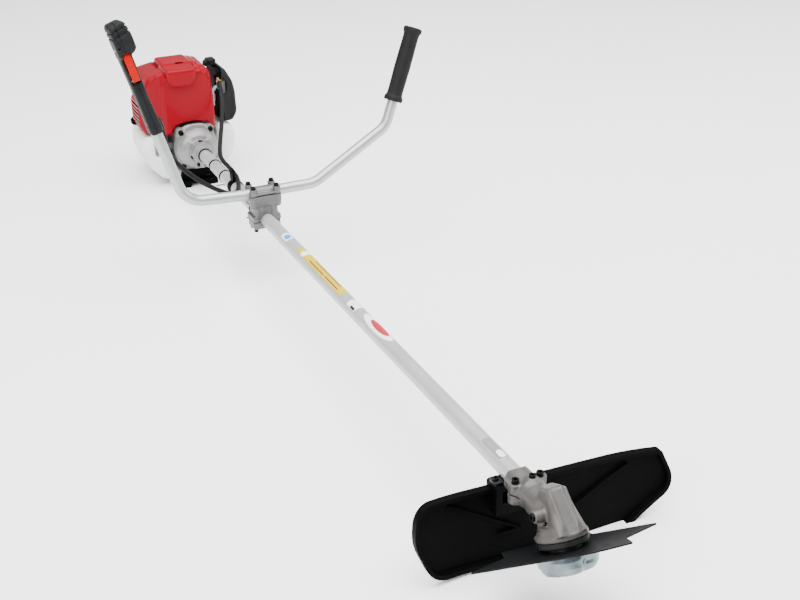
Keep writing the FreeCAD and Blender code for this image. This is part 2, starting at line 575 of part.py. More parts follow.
# ================================================================ handle
def clamp_group(case_bolts):
    x, half = CLAMP_X, 24.0
    bolt_y, bolt_x = 24.5, 15.5
    spots = [(x + sx * bolt_x, sy * bolt_y) for sx in (-1, 1) for sy in (-1, 1)]
    bar = rod((x, -60, BAR_Z), (x, 60, BAR_Z), BAR_R + RUN)

    cap = prism([(-half, BAR_Z + 0.6, 2), (half, BAR_Z + 0.6, 2), (half, BAR_Z + 7, 3),
                 (9, BAR_Z + 16, 8), (-9, BAR_Z + 16, 8), (-half, BAR_Z + 7, 3)],
                "y", -32, 32)
    cap.translate(V(x, 0, 0))
    bosses = [rod((bx, by, BAR_Z + 0.6), (bx, by, BAR_Z + 15), 7.5) for bx, by in spots]
    holes = [rod((bx, by, 20), (bx, by, 90), 3) for bx, by in spots]
    add("clamp_cap", cut(fuse(cap, *bosses), bar, *holes))

    top = block(x - half, x + half, -32, 32, 34, BAR_Z - 0.6, 7, "z")
    stem = block(x - 21, x + 21, -24, 24, -1, 36, 6, "z")
    ears = [block(x - 21, x + 21, sy * 24.5 - 4.5, sy * 24.5 + 4.5, -1, 10, 3, "z")
            for sy in (-1, 1)]
    bosses = [rod((bx, by, 30), (bx, by, BAR_Z - 0.6), 7.5) for bx, by in spots]
    tube = rod((x - 30, 0, 0), (x + 30, 0, 0), TUBE_R)
    lower_spots = [(x - 12, -22.5), (x + 12, -22.5), (x - 12, 22.5), (x + 12, 22.5)]
    threads = [rod((bx, by, -30), (bx, by, 9), 2.5) for bx, by in lower_spots]
    body = fuse(top, stem, *bosses, *ears)
    add("clamp_body", cut(body, bar, tube, *holes, *threads))

    jaw = block(x - 19, x + 19, -29, 29, -19, -2.6, 7, "x")
    add("clamp_jaw", cut(jaw, tube, *threads))

    bolts = [socket_screw((bx, by, BAR_Z + 15), (0, 0, 1), 3, 5, 5, 40) for bx, by in spots]
    bolts += [socket_screw((bx, by, -19), (0, 0, -1), 2.5, 4.2, 4.5, 27) for bx, by in lower_spots]
    add("cap_screws", *case_bolts, *bolts)


RIGHT_FOOT = (-159.4, 7.0)       # handlebar corners, (y, s) in the handlebar plane
RIGHT_KINK = (-38.0, 0.0)        # beyond the clamp the right half rises a little
RIGHT_SLOPE = 0.256              # how far the right arm runs outwards for each mm up
LEFT_CORNERS = ((112.7, 0.0), (281.5, 92.0), (361.1, 284.4))
CONTROL_S = (150.0, 365.0)
PLAIN_S = (141.8, 284.4)


def right_arm(s):
    return RIGHT_FOOT[0] - RIGHT_SLOPE * (s - RIGHT_FOOT[1])


def left_arm(s):
    (y0, s0), (y1, s1) = LEFT_CORNERS[1], LEFT_CORNERS[2]
    return y0 + (y1 - y0) * (s - s0) / (s1 - s0)


def handlebar_group():
    end_s = 232.0
    corners = [(right_arm(end_s), end_s), RIGHT_FOOT, RIGHT_KINK, LEFT_CORNERS[0], LEFT_CORNERS[1],
               (left_arm(PLAIN_S[1] - 4), PLAIN_S[1] - 4)]
    path, _ = rounded_path([bar_point(y, s) for y, s in corners], [50, 90, 60, 50])
    bar = cut(pipe(path, BAR_R), pipe(path, BAR_R - BAR_WALL))
    add("handlebar", bar)

    # plain rubber grip with a collar at each end, closed on top
    low = V(*bar_point(left_arm(PLAIN_S[0]), PLAIN_S[0]))
    high = V(*bar_point(left_arm(PLAIN_S[1]), PLAIN_S[1]))
    length = (high - low).Length
    profile = [(0, 0), (0, 19), (4, 20), (9, 19), (13, 16.5), (20, 16), (75, 16.8), (length - 20, 16),
               (length - 13, 16.5), (length - 8, 19), (length - 3, 19.5), (length, 17), (length, 0)]
    grip = lathe(profile, "z")
    grip.Placement = FreeCAD.Placement(low, FreeCAD.Rotation(V(0, 0, 1), high - low))
    add("plain_grip", cut(grip, pipe(path, BAR_R)))
    return path


def control_place():
    """Frame of the control grip: +Z up its axis, +X forward, +Y towards the clamp."""
    low = V(*bar_point(right_arm(CONTROL_S[0]), CONTROL_S[0]))
    high = V(*bar_point(right_arm(CONTROL_S[1]), CONTROL_S[1]))
    up = (high - low).normalize()
    forward = V(math.cos(LEAN), 0, math.sin(LEAN))
    return FreeCAD.Placement(low, FreeCAD.Rotation(forward, up.cross(forward), up, "ZXY"))


TRIGGER_PIVOT = (9.0, 0.0, 172.0)
LOCK_PIVOT = (-11.0, 0.0, 112.0)
SLEEVE_AT = (-10.6, 13.1, 0.0)


def control_group(path):
    place = control_place()

    def put(shape):
        out = shape.copy()
        out.Placement = place.multiply(out.Placement)
        return out

    length = 222.0
    handle = prism([(-16, 0, 4), (15, 0, 4), (18, 14, 10), (16.5, 40, 30), (15, 70, 30),
                    (15, 150, 12), (24, 162, 12), (24, 186, 14), (16, 200, 14), (12, length - 3, 4),
                    (-16, length - 3, 6), (-20, 178, 30), (-15, 140, 30), (-15, 56, 30), (-18, 30, 20),
                    (-18, 10, 6)], "y", -14.5, 14.5)
    handle = handle.makeFillet(8, [e for e in handle.Edges
                                   if e.BoundBox.YMax < -14.4 or e.BoundBox.YMin > 14.4])
    head = prism([(-12, 150, 4), (-12.5, 215, 5), (14, length, 9), (21, 212, 8), (24, 190, 30),
                  (23, 160, 9), (8, 153, 12)], "x", -15, 26)
    head = head.makeFillet(6, [e for e in head.Edges
                               if e.BoundBox.XMax < -14.9 or e.BoundBox.XMin > 25.9])
    bands = [cut(box(-40, 40, -30, 40, z, z + 1.6), block(-15, 22, -10.5, 20.5, z - 1, z + 3, 6, "z"))
             for z in (196, 206)]
    slot = block(8, 40, -8, 8, 104, 162, 2, "x")
    well = box(-4, 22, -8, 8, 102, 184)
    back_slot = box(-40, -3, -5, 5, 104, 162)
    switch_room = box(-9, 7, 18.7, 36, 179.9, 187.7)
    pin = rod((TRIGGER_PIVOT[0], -20, TRIGGER_PIVOT[2]), (TRIGGER_PIVOT[0], 20, TRIGGER_PIVOT[2]), 2.5)
    lock_pin = rod((LOCK_PIVOT[0], -9, LOCK_PIVOT[2]), (LOCK_PIVOT[0], 9, LOCK_PIVOT[2]), 2)
    sleeve = rod((SLEEVE_AT[0], SLEEVE_AT[1], -2), (SLEEVE_AT[0], SLEEVE_AT[1], 22), CABLE_R + 0.2)
    inside = block(-8, 8, -6, 12, 184, 192, 3, "z")
    handle = cut(fuse(handle, head), *bands, slot, well, back_slot, switch_room, pin, lock_pin, inside)
    handle = cut(put(handle), pipe(path, BAR_R), put(sleeve))
    near = put(box(-60, 60, 0, 40, -10, 240))
    far = put(box(-60, 60, -40, 0, -10, 240))
    add("control_shell_inner", handle.common(near))
    add("control_shell_outer", handle.common(far))

    # trigger: long finger lever hung from its pivot, its face standing out of the slot
    blade = prism([(19, 107, 3), (24, 108, 3), (25, 136, 40), (22, 158, 10), (14, 176, 4),
                   (4, 176, 4), (4, 167, 3), (14, 160, 6), (20, 136, 40)], "y", -7, 7)
    hole = rod((TRIGGER_PIVOT[0], -9, TRIGGER_PIVOT[2]), (TRIGGER_PIVOT[0], 9, TRIGGER_PIVOT[2]),
               2.5 + RUN)
    add("trigger", put(cut(blade, hole)))

    lock = prism([(-13, 107, 3), (-8, 107, 3), (-8, 118, 3), (-17, 148, 20), (-17, 157, 3),
                  (-22, 157, 3), (-22, 144, 20)], "y", -4.4, 4.4)
    lock_hole = rod((LOCK_PIVOT[0], -9, LOCK_PIVOT[2]), (LOCK_PIVOT[0], 9, LOCK_PIVOT[2]), 2 + RUN)
    add("lockout_lever", put(cut(lock, lock_hole)))

    knob = fuse(box(-8.5, 1, 19, 23.2, 180.4, 187.2), block(-6.5, -1, 23.2, 25.6, 181, 186.6, 1, "z"))
    add("stop_switch", put(knob))

    screws = [put(rod((TRIGGER_PIVOT[0], -14.4, TRIGGER_PIVOT[2]),
                      (TRIGGER_PIVOT[0], 14.4, TRIGGER_PIVOT[2]), 2.5)),
              put(rod((LOCK_PIVOT[0], -8.8, LOCK_PIVOT[2]), (LOCK_PIVOT[0], 8.8, LOCK_PIVOT[2]), 2))]
    add("control_pins", *screws)
    return place


# ================================================================ throttle cable
def cable_group(place):
    exit_at = place.multVec(V(*SLEEVE_AT))
    below = exit_at + place.Rotation.multVec(V(0, 0, -26))
    points = [exit_at, below] + [V(*p) for p in CABLE_TAIL] + [V(*ADJUSTER)]
    wire, radii = rounded_path([tuple(p) for p in points])
    solid = pipe(wire, CABLE_R)
    add("throttle_cable", solid)
    print("throttle cable length %.0f, volume ratio %.4f, radii %s" % (
        wire.Length, solid.Volume / (math.pi * CABLE_R ** 2 * wire.Length),
        [round(r) for r in radii]))

    # hanger for the harness hook: band round the tube, eye on top, cable clip
    x = HANGER_X
    ring = lathe([(x - 8, TUBE_R), (x - 8, TUBE_R + 3), (x + 8, TUBE_R + 3), (x + 8, TUBE_R)])
    ears = block(x - 8, x + 8, -5, 5, -31, -TUBE_R, 2, "x")
    eye = block(x - 10, x + 10, -8, -3, 15, 45, 9, "y")
    eye = cut(eye, rod((x, -10, 35), (x, 0, 35), 5), rod((x - 20, 0, 0), (x + 20, 0, 0), TUBE_R))
    slit = box(x - 10, x + 10, -1, 1, -35, -10)
    bolt_hole = rod((x, -8, -24), (x, 8, -24), 2.5)
    hanger = cut(fuse(ring, ears, eye), slit, bolt_hole, solid)
    hanger = max(hanger.Solids, key=lambda s: s.Volume)
    bolt = socket_screw((x, -5, -24), (0, -1, 0), 2.5, 4, 4, 12)
    add("hanger", hanger, bolt)

    # nylon ties that hold the cable against the tube
    ties = []
    for tx in (BAND_X, 352.0, 150.0):
        loop = lathe([(tx - 2.4, TUBE_R), (tx - 2.4, TUBE_R + 1.2), (tx + 2.4, TUBE_R + 1.2),
                      (tx + 2.4, TUBE_R)])
        lock = box(tx - 3.5, tx + 3.5, -5, 2, -TUBE_R - 6, -TUBE_R - 0.6)
        lock = cut(lock, rod((tx - 9, 0, 0), (tx + 9, 0, 0), TUBE_R))
        tail = box(tx - 1.8, tx + 1.8, -22, -4, -TUBE_R - 4.2, -TUBE_R - 3)
        ties.append(cut(fuse(loop, lock, tail), solid).Solids[0])
    add("cable_ties", *ties)


# ================================================================ gear head
def bevel_teeth(count, cone_angle, outer, inner, offset):
    """Teeth on the +Z axis, apex at the origin, as lofts that shrink towards the apex."""
    pitch_r = outer * math.sin(cone_angle)
    half = 0.15 * 2 * math.pi * pitch_r / count
    teeth = []
    for i in range(count):
        angle = math.radians(offset + i * 360.0 / count)
        wires = []
        for dist in (inner, outer):
            k = dist / outer
            corners = []
            for lift, wide in ((-2.4, half * 1.2), (1.5, half * 0.6)):
                along = dist * math.cos(cone_angle) - lift * k * math.sin(cone_angle)
                radius = dist * math.sin(cone_angle) + lift * k * math.cos(cone_angle)
                corners.append((along, radius, wide * k))
            (a0, r0, w0), (a1, r1, w1) = corners
            quad = [(r0, -w0, a0), (r0, w0, a0), (r1, w1, a1), (r1, -w1, a1)]
            pts = []
            for r, w, a in quad:
                pts.append(V(r * math.cos(angle) - w * math.sin(angle),
                             r * math.sin(angle) + w * math.cos(angle), a))
            wires.append(Part.makePolygon(pts + [pts[0]]))
        teeth.append(Part.makeLoft(wires, True, True))
    return teeth


def gear_group():
    ratio = GEAR_TEETH / PINION_TEETH
    between = math.pi - math.radians(90 - HEAD_ANGLE)
    pinion_cone = math.atan2(math.sin(between), ratio + math.cos(between))
    gear_cone = between - pinion_cone
    outer = 22.0
    inner = 14.0

    # output gear: teeth face the pinion, tooth gap on the mesh line (+X of the head frame)
    teeth = bevel_teeth(GEAR_TEETH, gear_cone, outer, inner, 180.0 / GEAR_TEETH)
    face = outer * math.cos(gear_cone)
    root = [(inner * math.cos(gear_cone) + 1.9, inner * math.sin(gear_cone) + 0.6),
            (face + 2.0, outer * math.sin(gear_cone) + 0.6),
            (face + 6.0, outer * math.sin(gear_cone) + 0.6), (face + 6.0, 6),
            (inner * math.cos(gear_cone) + 1.9, 6)]
    gear = fuse(lathe(root, "z"), *teeth)
    arbor = lathe([(inner * math.cos(gear_cone) + 1.9, 0), (inner * math.cos(gear_cone) + 1.9, 6),
                   (face + 6, 6), (face + 6, 7), (27, 7), (27, 6), (37, 6), (37, 5), (52, 5),
                   (52, 0)], "z")
    stub = Part.makeCylinder(4, 18, V(0, 0, -12))
    add("output_gear", on_head(fuse(gear, arbor, stub)))

    teeth = bevel_teeth(PINION_TEETH, pinion_cone, outer, inner, 180.0)
    p_face = outer * math.cos(pinion_cone)
    p_root = [(inner * math.cos(pinion_cone) + 0.8, DRIVE_R),
              (inner * math.cos(pinion_cone) + 0.8, inner * math.sin(pinion_cone) - 1.2),
              (p_face + 0.9, outer * math.sin(pinion_cone) - 1.9),
              (p_face + 6, outer * math.sin(pinion_cone) - 1.9), (p_face + 6, 7.5), (56, 7.5),
              (56, DRIVE_R)]
    body = fuse(lathe(p_root, "z"), *teeth)
    # the pinion's own +Z points back up the tube; its mesh line turns to face the output gear
    body.rotate(V(0, 0, 0), V(0, 1, 0), -90)
    body.translate(V(HEAD_X, 0, 0))
    tip = HEAD_X - inner * math.cos(pinion_cone) - 0.8
    bore = rod((1440, 0, 0), (tip - 8, 0, 0), DRIVE_R)
    add("pinion", cut(fuse(body, rod((tip - 8, 0, 0), (tip, 0, 0), DRIVE_R + 0.5)), bore))


def casting_group():
    top, low = -46.0, 13.0
    sections = []
    levels = ((top, 12.5, 13, -13, 6), (-10, 20.5, 22, -25, 8), (low, 26, 26, -31, 9))
    for h, half_y, back, front, r in levels:
        wire = rounded_wire([(front, -half_y, r), (back, -half_y, r), (back, half_y, r),
                             (front, half_y, r)], lambda p, hh=h: V(p.x, p.y, hh))
        sections.append(wire)
    tower = Part.makeLoft(sections, True, False)
    flare = lathe([(4, 0), (4, 27), (12, 31), (15, 35), (21, 35), (21, 0)], "z")
    ribs = [prism([(-17, -40, 2), (-9, -40, 2), (-18, 12, 3), (-34, 12, 3)], "y", y0, y0 + 4)
            for y0 in (-13, 9)]
    side = fuse(tower, flare)
    rib_limit = lathe([(-40, 0), (-40, 26), (14, 34), (14, 0)], "z")
    ribs = [r.common(rib_limit) for r in ribs]
    casting = on_head(fuse(side, *ribs))

    neck = turned(lathe([(1400, 0), (1400, 19.5), (1404, 20.5), (1438, 20.5), (1456, 23.5),
                         (1500, 24.5), (1500, 0)]), 120)
    lugs = [block(1414, 1446, sy * 19 - 9, sy * 19 + 9, -15, 15, 8, "z") for sy in (-1, 1)]
    bosses = [rod((LUG_X, sy * 19, 8), (LUG_X, sy * 19, 16), 8) for sy in (-1, 1)]
    plug_boss = rod((PLUG_X, 2, 15), (PLUG_X, 2, 23), 7)
    grease_boss = rod((1500, -34, 12), (1500, -15, 12), 7.5)
    casting = fuse(casting, neck, *lugs, *bosses, plug_boss, grease_boss)

    # bores: tube socket, pinion bearing, gear room, output bearing, bolts and the split
    socket = rod((1399, 0, 0), (TUBE_END, 0, 0), TUBE_R)
    bearing = rod((TUBE_END - 1, 0, 0), (1480, 0, 0), 13)
    room = on_head(lathe([(-30, 0), (-30, 13), (-14, 14), (-6, 19), (2, 24.5), (15.5, 24.5),
                          (15.5, 16), (22, 16), (22, 0)], "z"))
    pinion_room = rod((1476, 0, 0), (1507, 0, 0), 18.0)
    inside = on_head(lathe([(-30, 0), (-30, 34), (18, 34), (18, 0)], "z"))
    holes = [rod((LUG_X, sy * 19, -20), (LUG_X, sy * 19, 20), 3) for sy in (-1, 1)]
    slits = [box(1395, 1442, sy * 14 - 16, sy * 14 + 16, -1.2, 1.2) for sy in (-1, 1)]
    plug_hole = rod((PLUG_X, 2, 10), (PLUG_X, 2, 30), 3)
    grease_hole = rod((1500, -36, 12), (1500, -16, 12), 4)
    casting = cut(casting, socket, bearing, room, pinion_room.common(inside), *holes, *slits,
                  plug_hole, grease_hole)
    add("gear_case", max(casting.Solids, key=lambda s: s.Volume))

    rings = [lathe([(TUBE_END + 4, 7.5 + RUN), (TUBE_END + 4, 13), (1475, 13), (1475, 7.5 + RUN)]),
             on_head(lathe([(16, 7 + RUN), (16, 16), (21.8, 16), (21.8, 7 + RUN)], "z")),
             lathe([(-44, CRANK_R + RUN), (-44, 16), (-34, 16), (-34, CRANK_R + RUN)])]
    add("bearings", *rings)

    bolts = [socket_screw((LUG_X, sy * 19, 16), (0, 0, 1), 3, 5.2, 5.5, 28) for sy in (-1, 1)]
    bolts.append(socket_screw((PLUG_X, 2, 23), (0, 0, 1), 3, 4.6, 4.5, 8))
    bolts.append(socket_screw((1500, -34, 12), (0, -1, 0), 4, 5.6, 2.5, 10))
    return bolts


def cutter_group():
    # deflector ring turning with the upper holder, splined to the output shaft
    ring = lathe([(21.6, 17), (21.6, 34.5), (28, 34.5), (29.5, 33), (29.5, 22), (BLADE_H, 22),
                  (BLADE_H, 12.7), (BLADE_H + BLADE_T, 12.7), (BLADE_H + BLADE_T, 6), (27, 6),
                  (27, 7), (24, 7), (24, 17)], "z")
    add("blade_holder", on_head(ring))

    horn = BLADE_R
    points = [(-31, horn * 0.966, 2), (-50, 61, 5), (-83, 50, 3), (-66, 0, 120), (22, -113, 4)]
    full = points + [(-x, -y, r) for x, y, r in points]
    plate = prism(full, "z", BLADE_H, BLADE_H + BLADE_T)
    limit = Part.makeCylinder(BLADE_R, 20, V(0, 0, BLADE_H - 5))
    bore = Part.makeCylinder(12.7, 20, V(0, 0, BLADE_H - 5))
    holes = [Part.makeCylinder(3, 20, V(34 * math.cos(a), 34 * math.sin(a), BLADE_H - 5))
             for a in (0.6, 0.6 + math.pi)]
    plate = cut(plate.common(limit), bore, *holes)
    add("blade", on_head(plate))

    # plated cup that runs on the ground: dished, with three shallow lobes
    top = BLADE_H + BLADE_T
    outer = lathe([(top, 0), (top, 42), (top + 16, 41), (top + 25, 36), (top + 28, 30),
                   (top + 28, 0)], "z")
    inner = lathe([(top - 1, 0), (top - 1, 40), (top + 15, 39), (top + 23, 34.5), (top + 26, 29),
                   (top + 26, 20), (top - 1, 18)], "z")
    floor_hole = Part.makeCylinder(5.2, 90, V(0, 0, 0))
    dish = Part.makeCylinder(15, 30, V(0, 0, top + 3))
    lobes = [turned(Part.makeCylinder(11, 40, V(50, 0, top + 7)), a, (0, 0, 1)) for a in (50, 170, 290)]
    inner_lobes = [turned(Part.makeCylinder(13, 40, V(50, 0, top + 5)), a, (0, 0, 1))
                   for a in (50, 170, 290)]
    cup = cut(cut(outer, *lobes), cut(inner, *inner_lobes), floor_hole, dish)
    add("blade_cup", on_head(max(cup.Solids, key=lambda s: s.Volume)))

    nut_base = top + 3
    hexagon = []
    for i in range(6):
        a = i * math.pi / 3
        hexagon.append((9.5 * math.cos(a), 9.5 * math.sin(a), 0))
    nut = fuse(prism(hexagon, "z", nut_base, nut_base + 9), Part.makeCylinder(12, 2, V(0, 0, nut_base)))
    add("blade_nut", on_head(cut(nut, Part.makeCylinder(5, 60, V(0, 0, 0)))))


GUARD_TOP = (1378.0, -26.0)
GUARD_LEAN = 12.8


def guard_group(head_bolts):
    lean = math.radians(GUARD_LEAN)
    slide = V(math.sin(lean), 0, -math.cos(lean))

    def wall(depth_back, depth_front):
        """Curved sheet in plan: straight middle, both ends bent forward."""
        def edge(d):
            arc = math.radians(12)
            r = 400.0
            x = GUARD_TOP[0] + d
            rr = r - d
            y_right, y_left = -70.0, 158.0
            pts_right = (V(x, y_right, 0),
                         V(x + rr * (1 - math.cos(arc / 2)), y_right - rr * math.sin(arc / 2), 0),
                         V(x + rr * (1 - math.cos(arc)), y_right - rr * math.sin(arc), 0))
            pts_left = (V(x, y_left, 0),
                        V(x + rr * (1 - math.cos(arc / 2)), y_left + rr * math.sin(arc / 2), 0),
                        V(x + rr * (1 - math.cos(arc)), y_left + rr * math.sin(arc), 0))
            out = V(math.sin(arc), 0, 0)
            run = 30.0
            far_right = pts_right[2] + V(out.x * run, -math.cos(arc) * run, 0)
            far_left = pts_left[2] + V(out.x * run, math.cos(arc) * run, 0)
            return pts_right, pts_left, far_right, far_left

        def chain(d):
            right, left, far_right, far_left = edge(d)
            edges = [Part.makeLine(far_right, right[2]), Part.Arc(right[2], right[1], right[0]).toShape(),
                     Part.makeLine(right[0], left[0]), Part.Arc(left[0], left[1], left[2]).toShape(),
                     Part.makeLine(left[2], far_left)]
            return edges, far_right, far_left

        back, back_r, back_l = chain(depth_back)
        front, front_r, front_l = chain(depth_front)
        wire = Part.Wire(Part.__sortEdges__(back + [Part.makeLine(back_l, front_l)] + front
                                            + [Part.makeLine(front_r, back_r)]))
        solid = Part.Face(wire).extrude(slide * 190)
        solid.translate(V(-math.tan(lean) * 20, 0, GUARD_TOP[1] + 20))
        return solid

    outline = [(-144, -14, 30), (-155, -62, 60), (-130, -126, 38), (184, -143, 50), (266, -88, 34),
               (246, -33, 5)]
    inset = [(-139, -20, 26), (-150, -62, 56), (-126, -120, 34), (182, -137, 46), (260, -86, 30),
             (241.5, -38, 3)]
    full = prism(outline, "x", 1300, 1560)
    hole = prism(inset, "x", 1290, 1570)
    sheet = wall(0, 2.8).common(full)
    rim = wall(0, 11).common(full.cut(hole))
    ribs = []
    for (y0, z0), (y1, z1) in (((-94, -28), (8, -88)), ((194, -46), (104, -82)),
                               ((-22, -90), (14, -90)), ((60, -60), (60, -110))):
        n = V(0, y1 - y0, z1 - z0).normalize()
        side = V(0, -n.z, n.y) * 1.2
        a, b = V(1300, y0, z0), V(1300, y1, z1)
        face = Part.Face(Part.makePolygon([a - side, b - side, b + side, a + side, a - side]))
        ribs.append(face.extrude(V(260, 0, 0)).common(wall(0, 9)))
    saddle = cut(block(1372, 1400, -28, 28, -60, -12, 4, "x"), box(1360, 1420, -18, 18, -40, -21))
    guard = fuse(sheet, rim, *ribs, saddle)
    guard = cut(guard, floor_block(), rod((1300, 0, 0), (1500, 0, 0), 17.5))
    slots = [rod((1386, sy * 22.5, -70), (1386, sy * 22.5, 0), 2.5) for sy in (-1, 1)]
    guard = cut(guard, *slots)
    add("guard", max(guard.Solids, key=lambda s: s.Volume))

    # steel cradle brazed under the tube, screwed down into the guard's saddle
    half = cut(rod((1378, 0, 0), (1395, 0, 0), 17.2), rod((1370, 0, 0), (1399, 0, 0), TUBE_R))
    half = cut(half, box(1360, 1399, -30, 30, -7.7, 30))
    ears = [block(1378, 1395, sy * 21 - 7, sy * 21 + 7, -11.7, -7.7, 2, "z") for sy in (-1, 1)]
    bracket = cut(fuse(half, *ears), rod((1370, 0, 0), (1399, 0, 0), TUBE_R), *slots)
    add("guard_bracket", bracket)
    bolts = [socket_screw((1386, sy * 22.5, -7.7), (0, 0, 1), 2.5, 4.2, 4, 28) for sy in (-1, 1)]
    add("head_bolts", *head_bolts, *bolts)


# ================================================================ put together
def build():
    shaft_group()
    case_bolts = clutch_group()
    crank_group()
    block_group()
    throttle_group()
    cleaner_group()
    cover_group()
    starter_group()
    tank_group()
    clamp_group(case_bolts)
    path = handlebar_group()
    place = control_group(path)
    cable_group(place)
    gear_group()
    head_bolts = casting_group()
    cutter_group()
    guard_group(head_bolts)


def rest_on_floor():
    """Tilt the machine onto its stand and guard; origin under the middle of its box."""
    whole = FreeCAD.BoundBox()
    for shape in SHAPES.values():
        shape.rotate(V(0, 0, 0), V(0, 1, 0), -REST_TILT)
        shape.translate(V(0, 0, FLOOR_DROP * math.cos(math.radians(REST_TILT))))
        whole.add(shape.optimalBoundingBox(False, False))
    shift = V(-(whole.XMin + whole.XMax) / 2, -(whole.YMin + whole.YMax) / 2, -whole.ZMin)
    for shape in SHAPES.values():
        shape.translate(shift)
    print("shaft frame origin at %.3f %.3f %.3f" % (
        shift.x, shift.y, shift.z + FLOOR_DROP * math.cos(math.radians(REST_TILT))))
    print("size %.1f x %.1f x %.1f" % (whole.XLength, whole.YLength, whole.ZLength))


def main():
    build()
    rest_on_floor()
    os.makedirs("parts", exist_ok=True)
    for name, shape in SHAPES.items():
        if not shape.isValid():
            print("INVALID", name)
        shape.exportStep("parts/%s.step" % name)
    print(len(SHAPES), "pieces")


main()
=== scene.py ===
import json
import math

import bpy
import numpy as np
import openvdb
from mathutils import Matrix, Vector


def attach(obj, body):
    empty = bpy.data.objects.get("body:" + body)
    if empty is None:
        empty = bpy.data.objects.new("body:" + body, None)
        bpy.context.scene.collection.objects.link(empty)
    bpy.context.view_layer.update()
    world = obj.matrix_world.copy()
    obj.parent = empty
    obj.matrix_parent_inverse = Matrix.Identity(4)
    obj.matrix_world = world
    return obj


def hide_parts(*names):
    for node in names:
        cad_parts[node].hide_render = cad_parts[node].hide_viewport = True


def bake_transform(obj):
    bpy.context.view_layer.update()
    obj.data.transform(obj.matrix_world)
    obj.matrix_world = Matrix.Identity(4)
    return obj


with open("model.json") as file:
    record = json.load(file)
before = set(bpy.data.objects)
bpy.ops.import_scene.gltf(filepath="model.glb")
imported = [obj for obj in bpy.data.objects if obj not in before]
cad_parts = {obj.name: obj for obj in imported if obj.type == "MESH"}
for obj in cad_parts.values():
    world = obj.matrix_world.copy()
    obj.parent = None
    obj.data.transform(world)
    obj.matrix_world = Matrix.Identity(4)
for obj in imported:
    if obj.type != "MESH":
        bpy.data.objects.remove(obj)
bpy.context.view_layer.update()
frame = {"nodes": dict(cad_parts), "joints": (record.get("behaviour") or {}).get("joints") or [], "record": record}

# ---------------------------------------------------------------- frames
# Lengths below are millimetres in the shaft frame: +X runs down the drive tube to the
# cutter, +Y is the operator's left, +Z is up, x = 0 is the front of the clutch case.
JOINTS = {joint["name"]: joint for joint in frame["joints"]}


def frame_of(origin, x_axis, z_axis):
    """Matrix from a millimetre frame to the scene, in metres."""
    x = Vector(x_axis).normalized()
    z = Vector(z_axis).normalized()
    y = z.cross(x)
    place = Matrix((x, y, z)).transposed().to_4x4() @ Matrix.Scale(0.001, 4)
    place.translation = Vector(origin)
    return place


def axis(name):
    return Vector(JOINTS[name]["axis"])


def anchor(name):
    return Vector(JOINTS[name]["pos_m"])


SHAFT = frame_of(anchor("crank_spin"), axis("crank_spin"), axis("crank_spin").cross(Vector((0, 1, 0))))
# output shaft: +Z down its axis, +X towards the engine
HEAD = frame_of(anchor("blade_spin"), Vector((0, 1, 0)).cross(axis("blade_spin")), axis("blade_spin"))
# control grip: +Z up its axis, +X forward, +Y towards the clamp
TRIGGER_AT = Vector((9, 0, 172))         # the trigger's pivot in that frame
SLIDE = axis("stop_switch_slide")
CONTROL = frame_of((0, 0, 0), SLIDE, SLIDE.cross(axis("trigger_pull")))
CONTROL.translation = anchor("trigger_pull") - CONTROL.to_3x3() @ TRIGGER_AT
# handlebar: origin on the bar in its clamp, +Y along the bar, +Z up the leaning plane
CLAMP_X = 403.0          # middle of the handle clamp
BAR_Z = 53.8             # middle of the bar in the clamp
BAR_LEAN = math.radians(8.5)
BAR = SHAFT @ Matrix.Translation((CLAMP_X, 0, BAR_Z)) @ Matrix.Rotation(-BAR_LEAN, 4, "Y")

TUBE_R = 14.0
SOCKET_R = 14.05         # bores that the drive tube sits in
BAR_R = 11.0
BAR_HOLE_R = 11.15       # bore of the clamp around the bar
CABLE_R = 5.0


# ---------------------------------------------------------------- materials
def shader_nodes(name):
    """New material, its node tree and its shader."""
    material = bpy.data.materials.new(name)
    material.use_nodes = True
    tree = material.node_tree
    return material, tree, tree.nodes["Principled BSDF"]


def noise(tree, scale, detail=4.0, stretch=(1, 1, 1)):
    """Noise in object space; scale is in cells per metre."""
    where = tree.nodes.new("ShaderNodeTexCoord")
    mapping = tree.nodes.new("ShaderNodeMapping")
    mapping.inputs["Scale"].default_value = stretch
    tree.links.new(where.outputs["Object"], mapping.inputs["Vector"])
    texture = tree.nodes.new("ShaderNodeTexNoise")
    texture.inputs["Scale"].default_value = scale
    texture.inputs["Detail"].default_value = detail
    tree.links.new(mapping.outputs["Vector"], texture.inputs["Vector"])
    return texture.outputs["Fac"]


def ramp(tree, value, stops):
    """Colour ramp over a value, from (position, colour) stops."""
    node = tree.nodes.new("ShaderNodeValToRGB")
    elements = node.color_ramp.elements
    elements[0].position, elements[0].color = stops[0][0], stops[0][1]
    elements[1].position, elements[1].color = stops[-1][0], stops[-1][1]
    for place, colour in stops[1:-1]:
        elements.new(place).color = colour
    tree.links.new(value, node.inputs["Fac"])
    return node.outputs["Color"]


def shade(colour, factor):
    """Lighter or darker copy of a colour, opaque."""
    return tuple(min(1.0, max(0.0, c * factor)) for c in colour[:3]) + (1.0,)


def spread(tree, value, low, high):
    """Middle of a noise's range, spread over low to high."""
    node = tree.nodes.new("ShaderNodeMapRange")
    node.inputs["To Min"].default_value = low
    node.inputs["To Max"].default_value = high
    node.inputs["From Min"].default_value = 0.3
    node.inputs["From Max"].default_value = 0.7
    tree.links.new(value, node.inputs["Value"])
    return node.outputs["Result"]


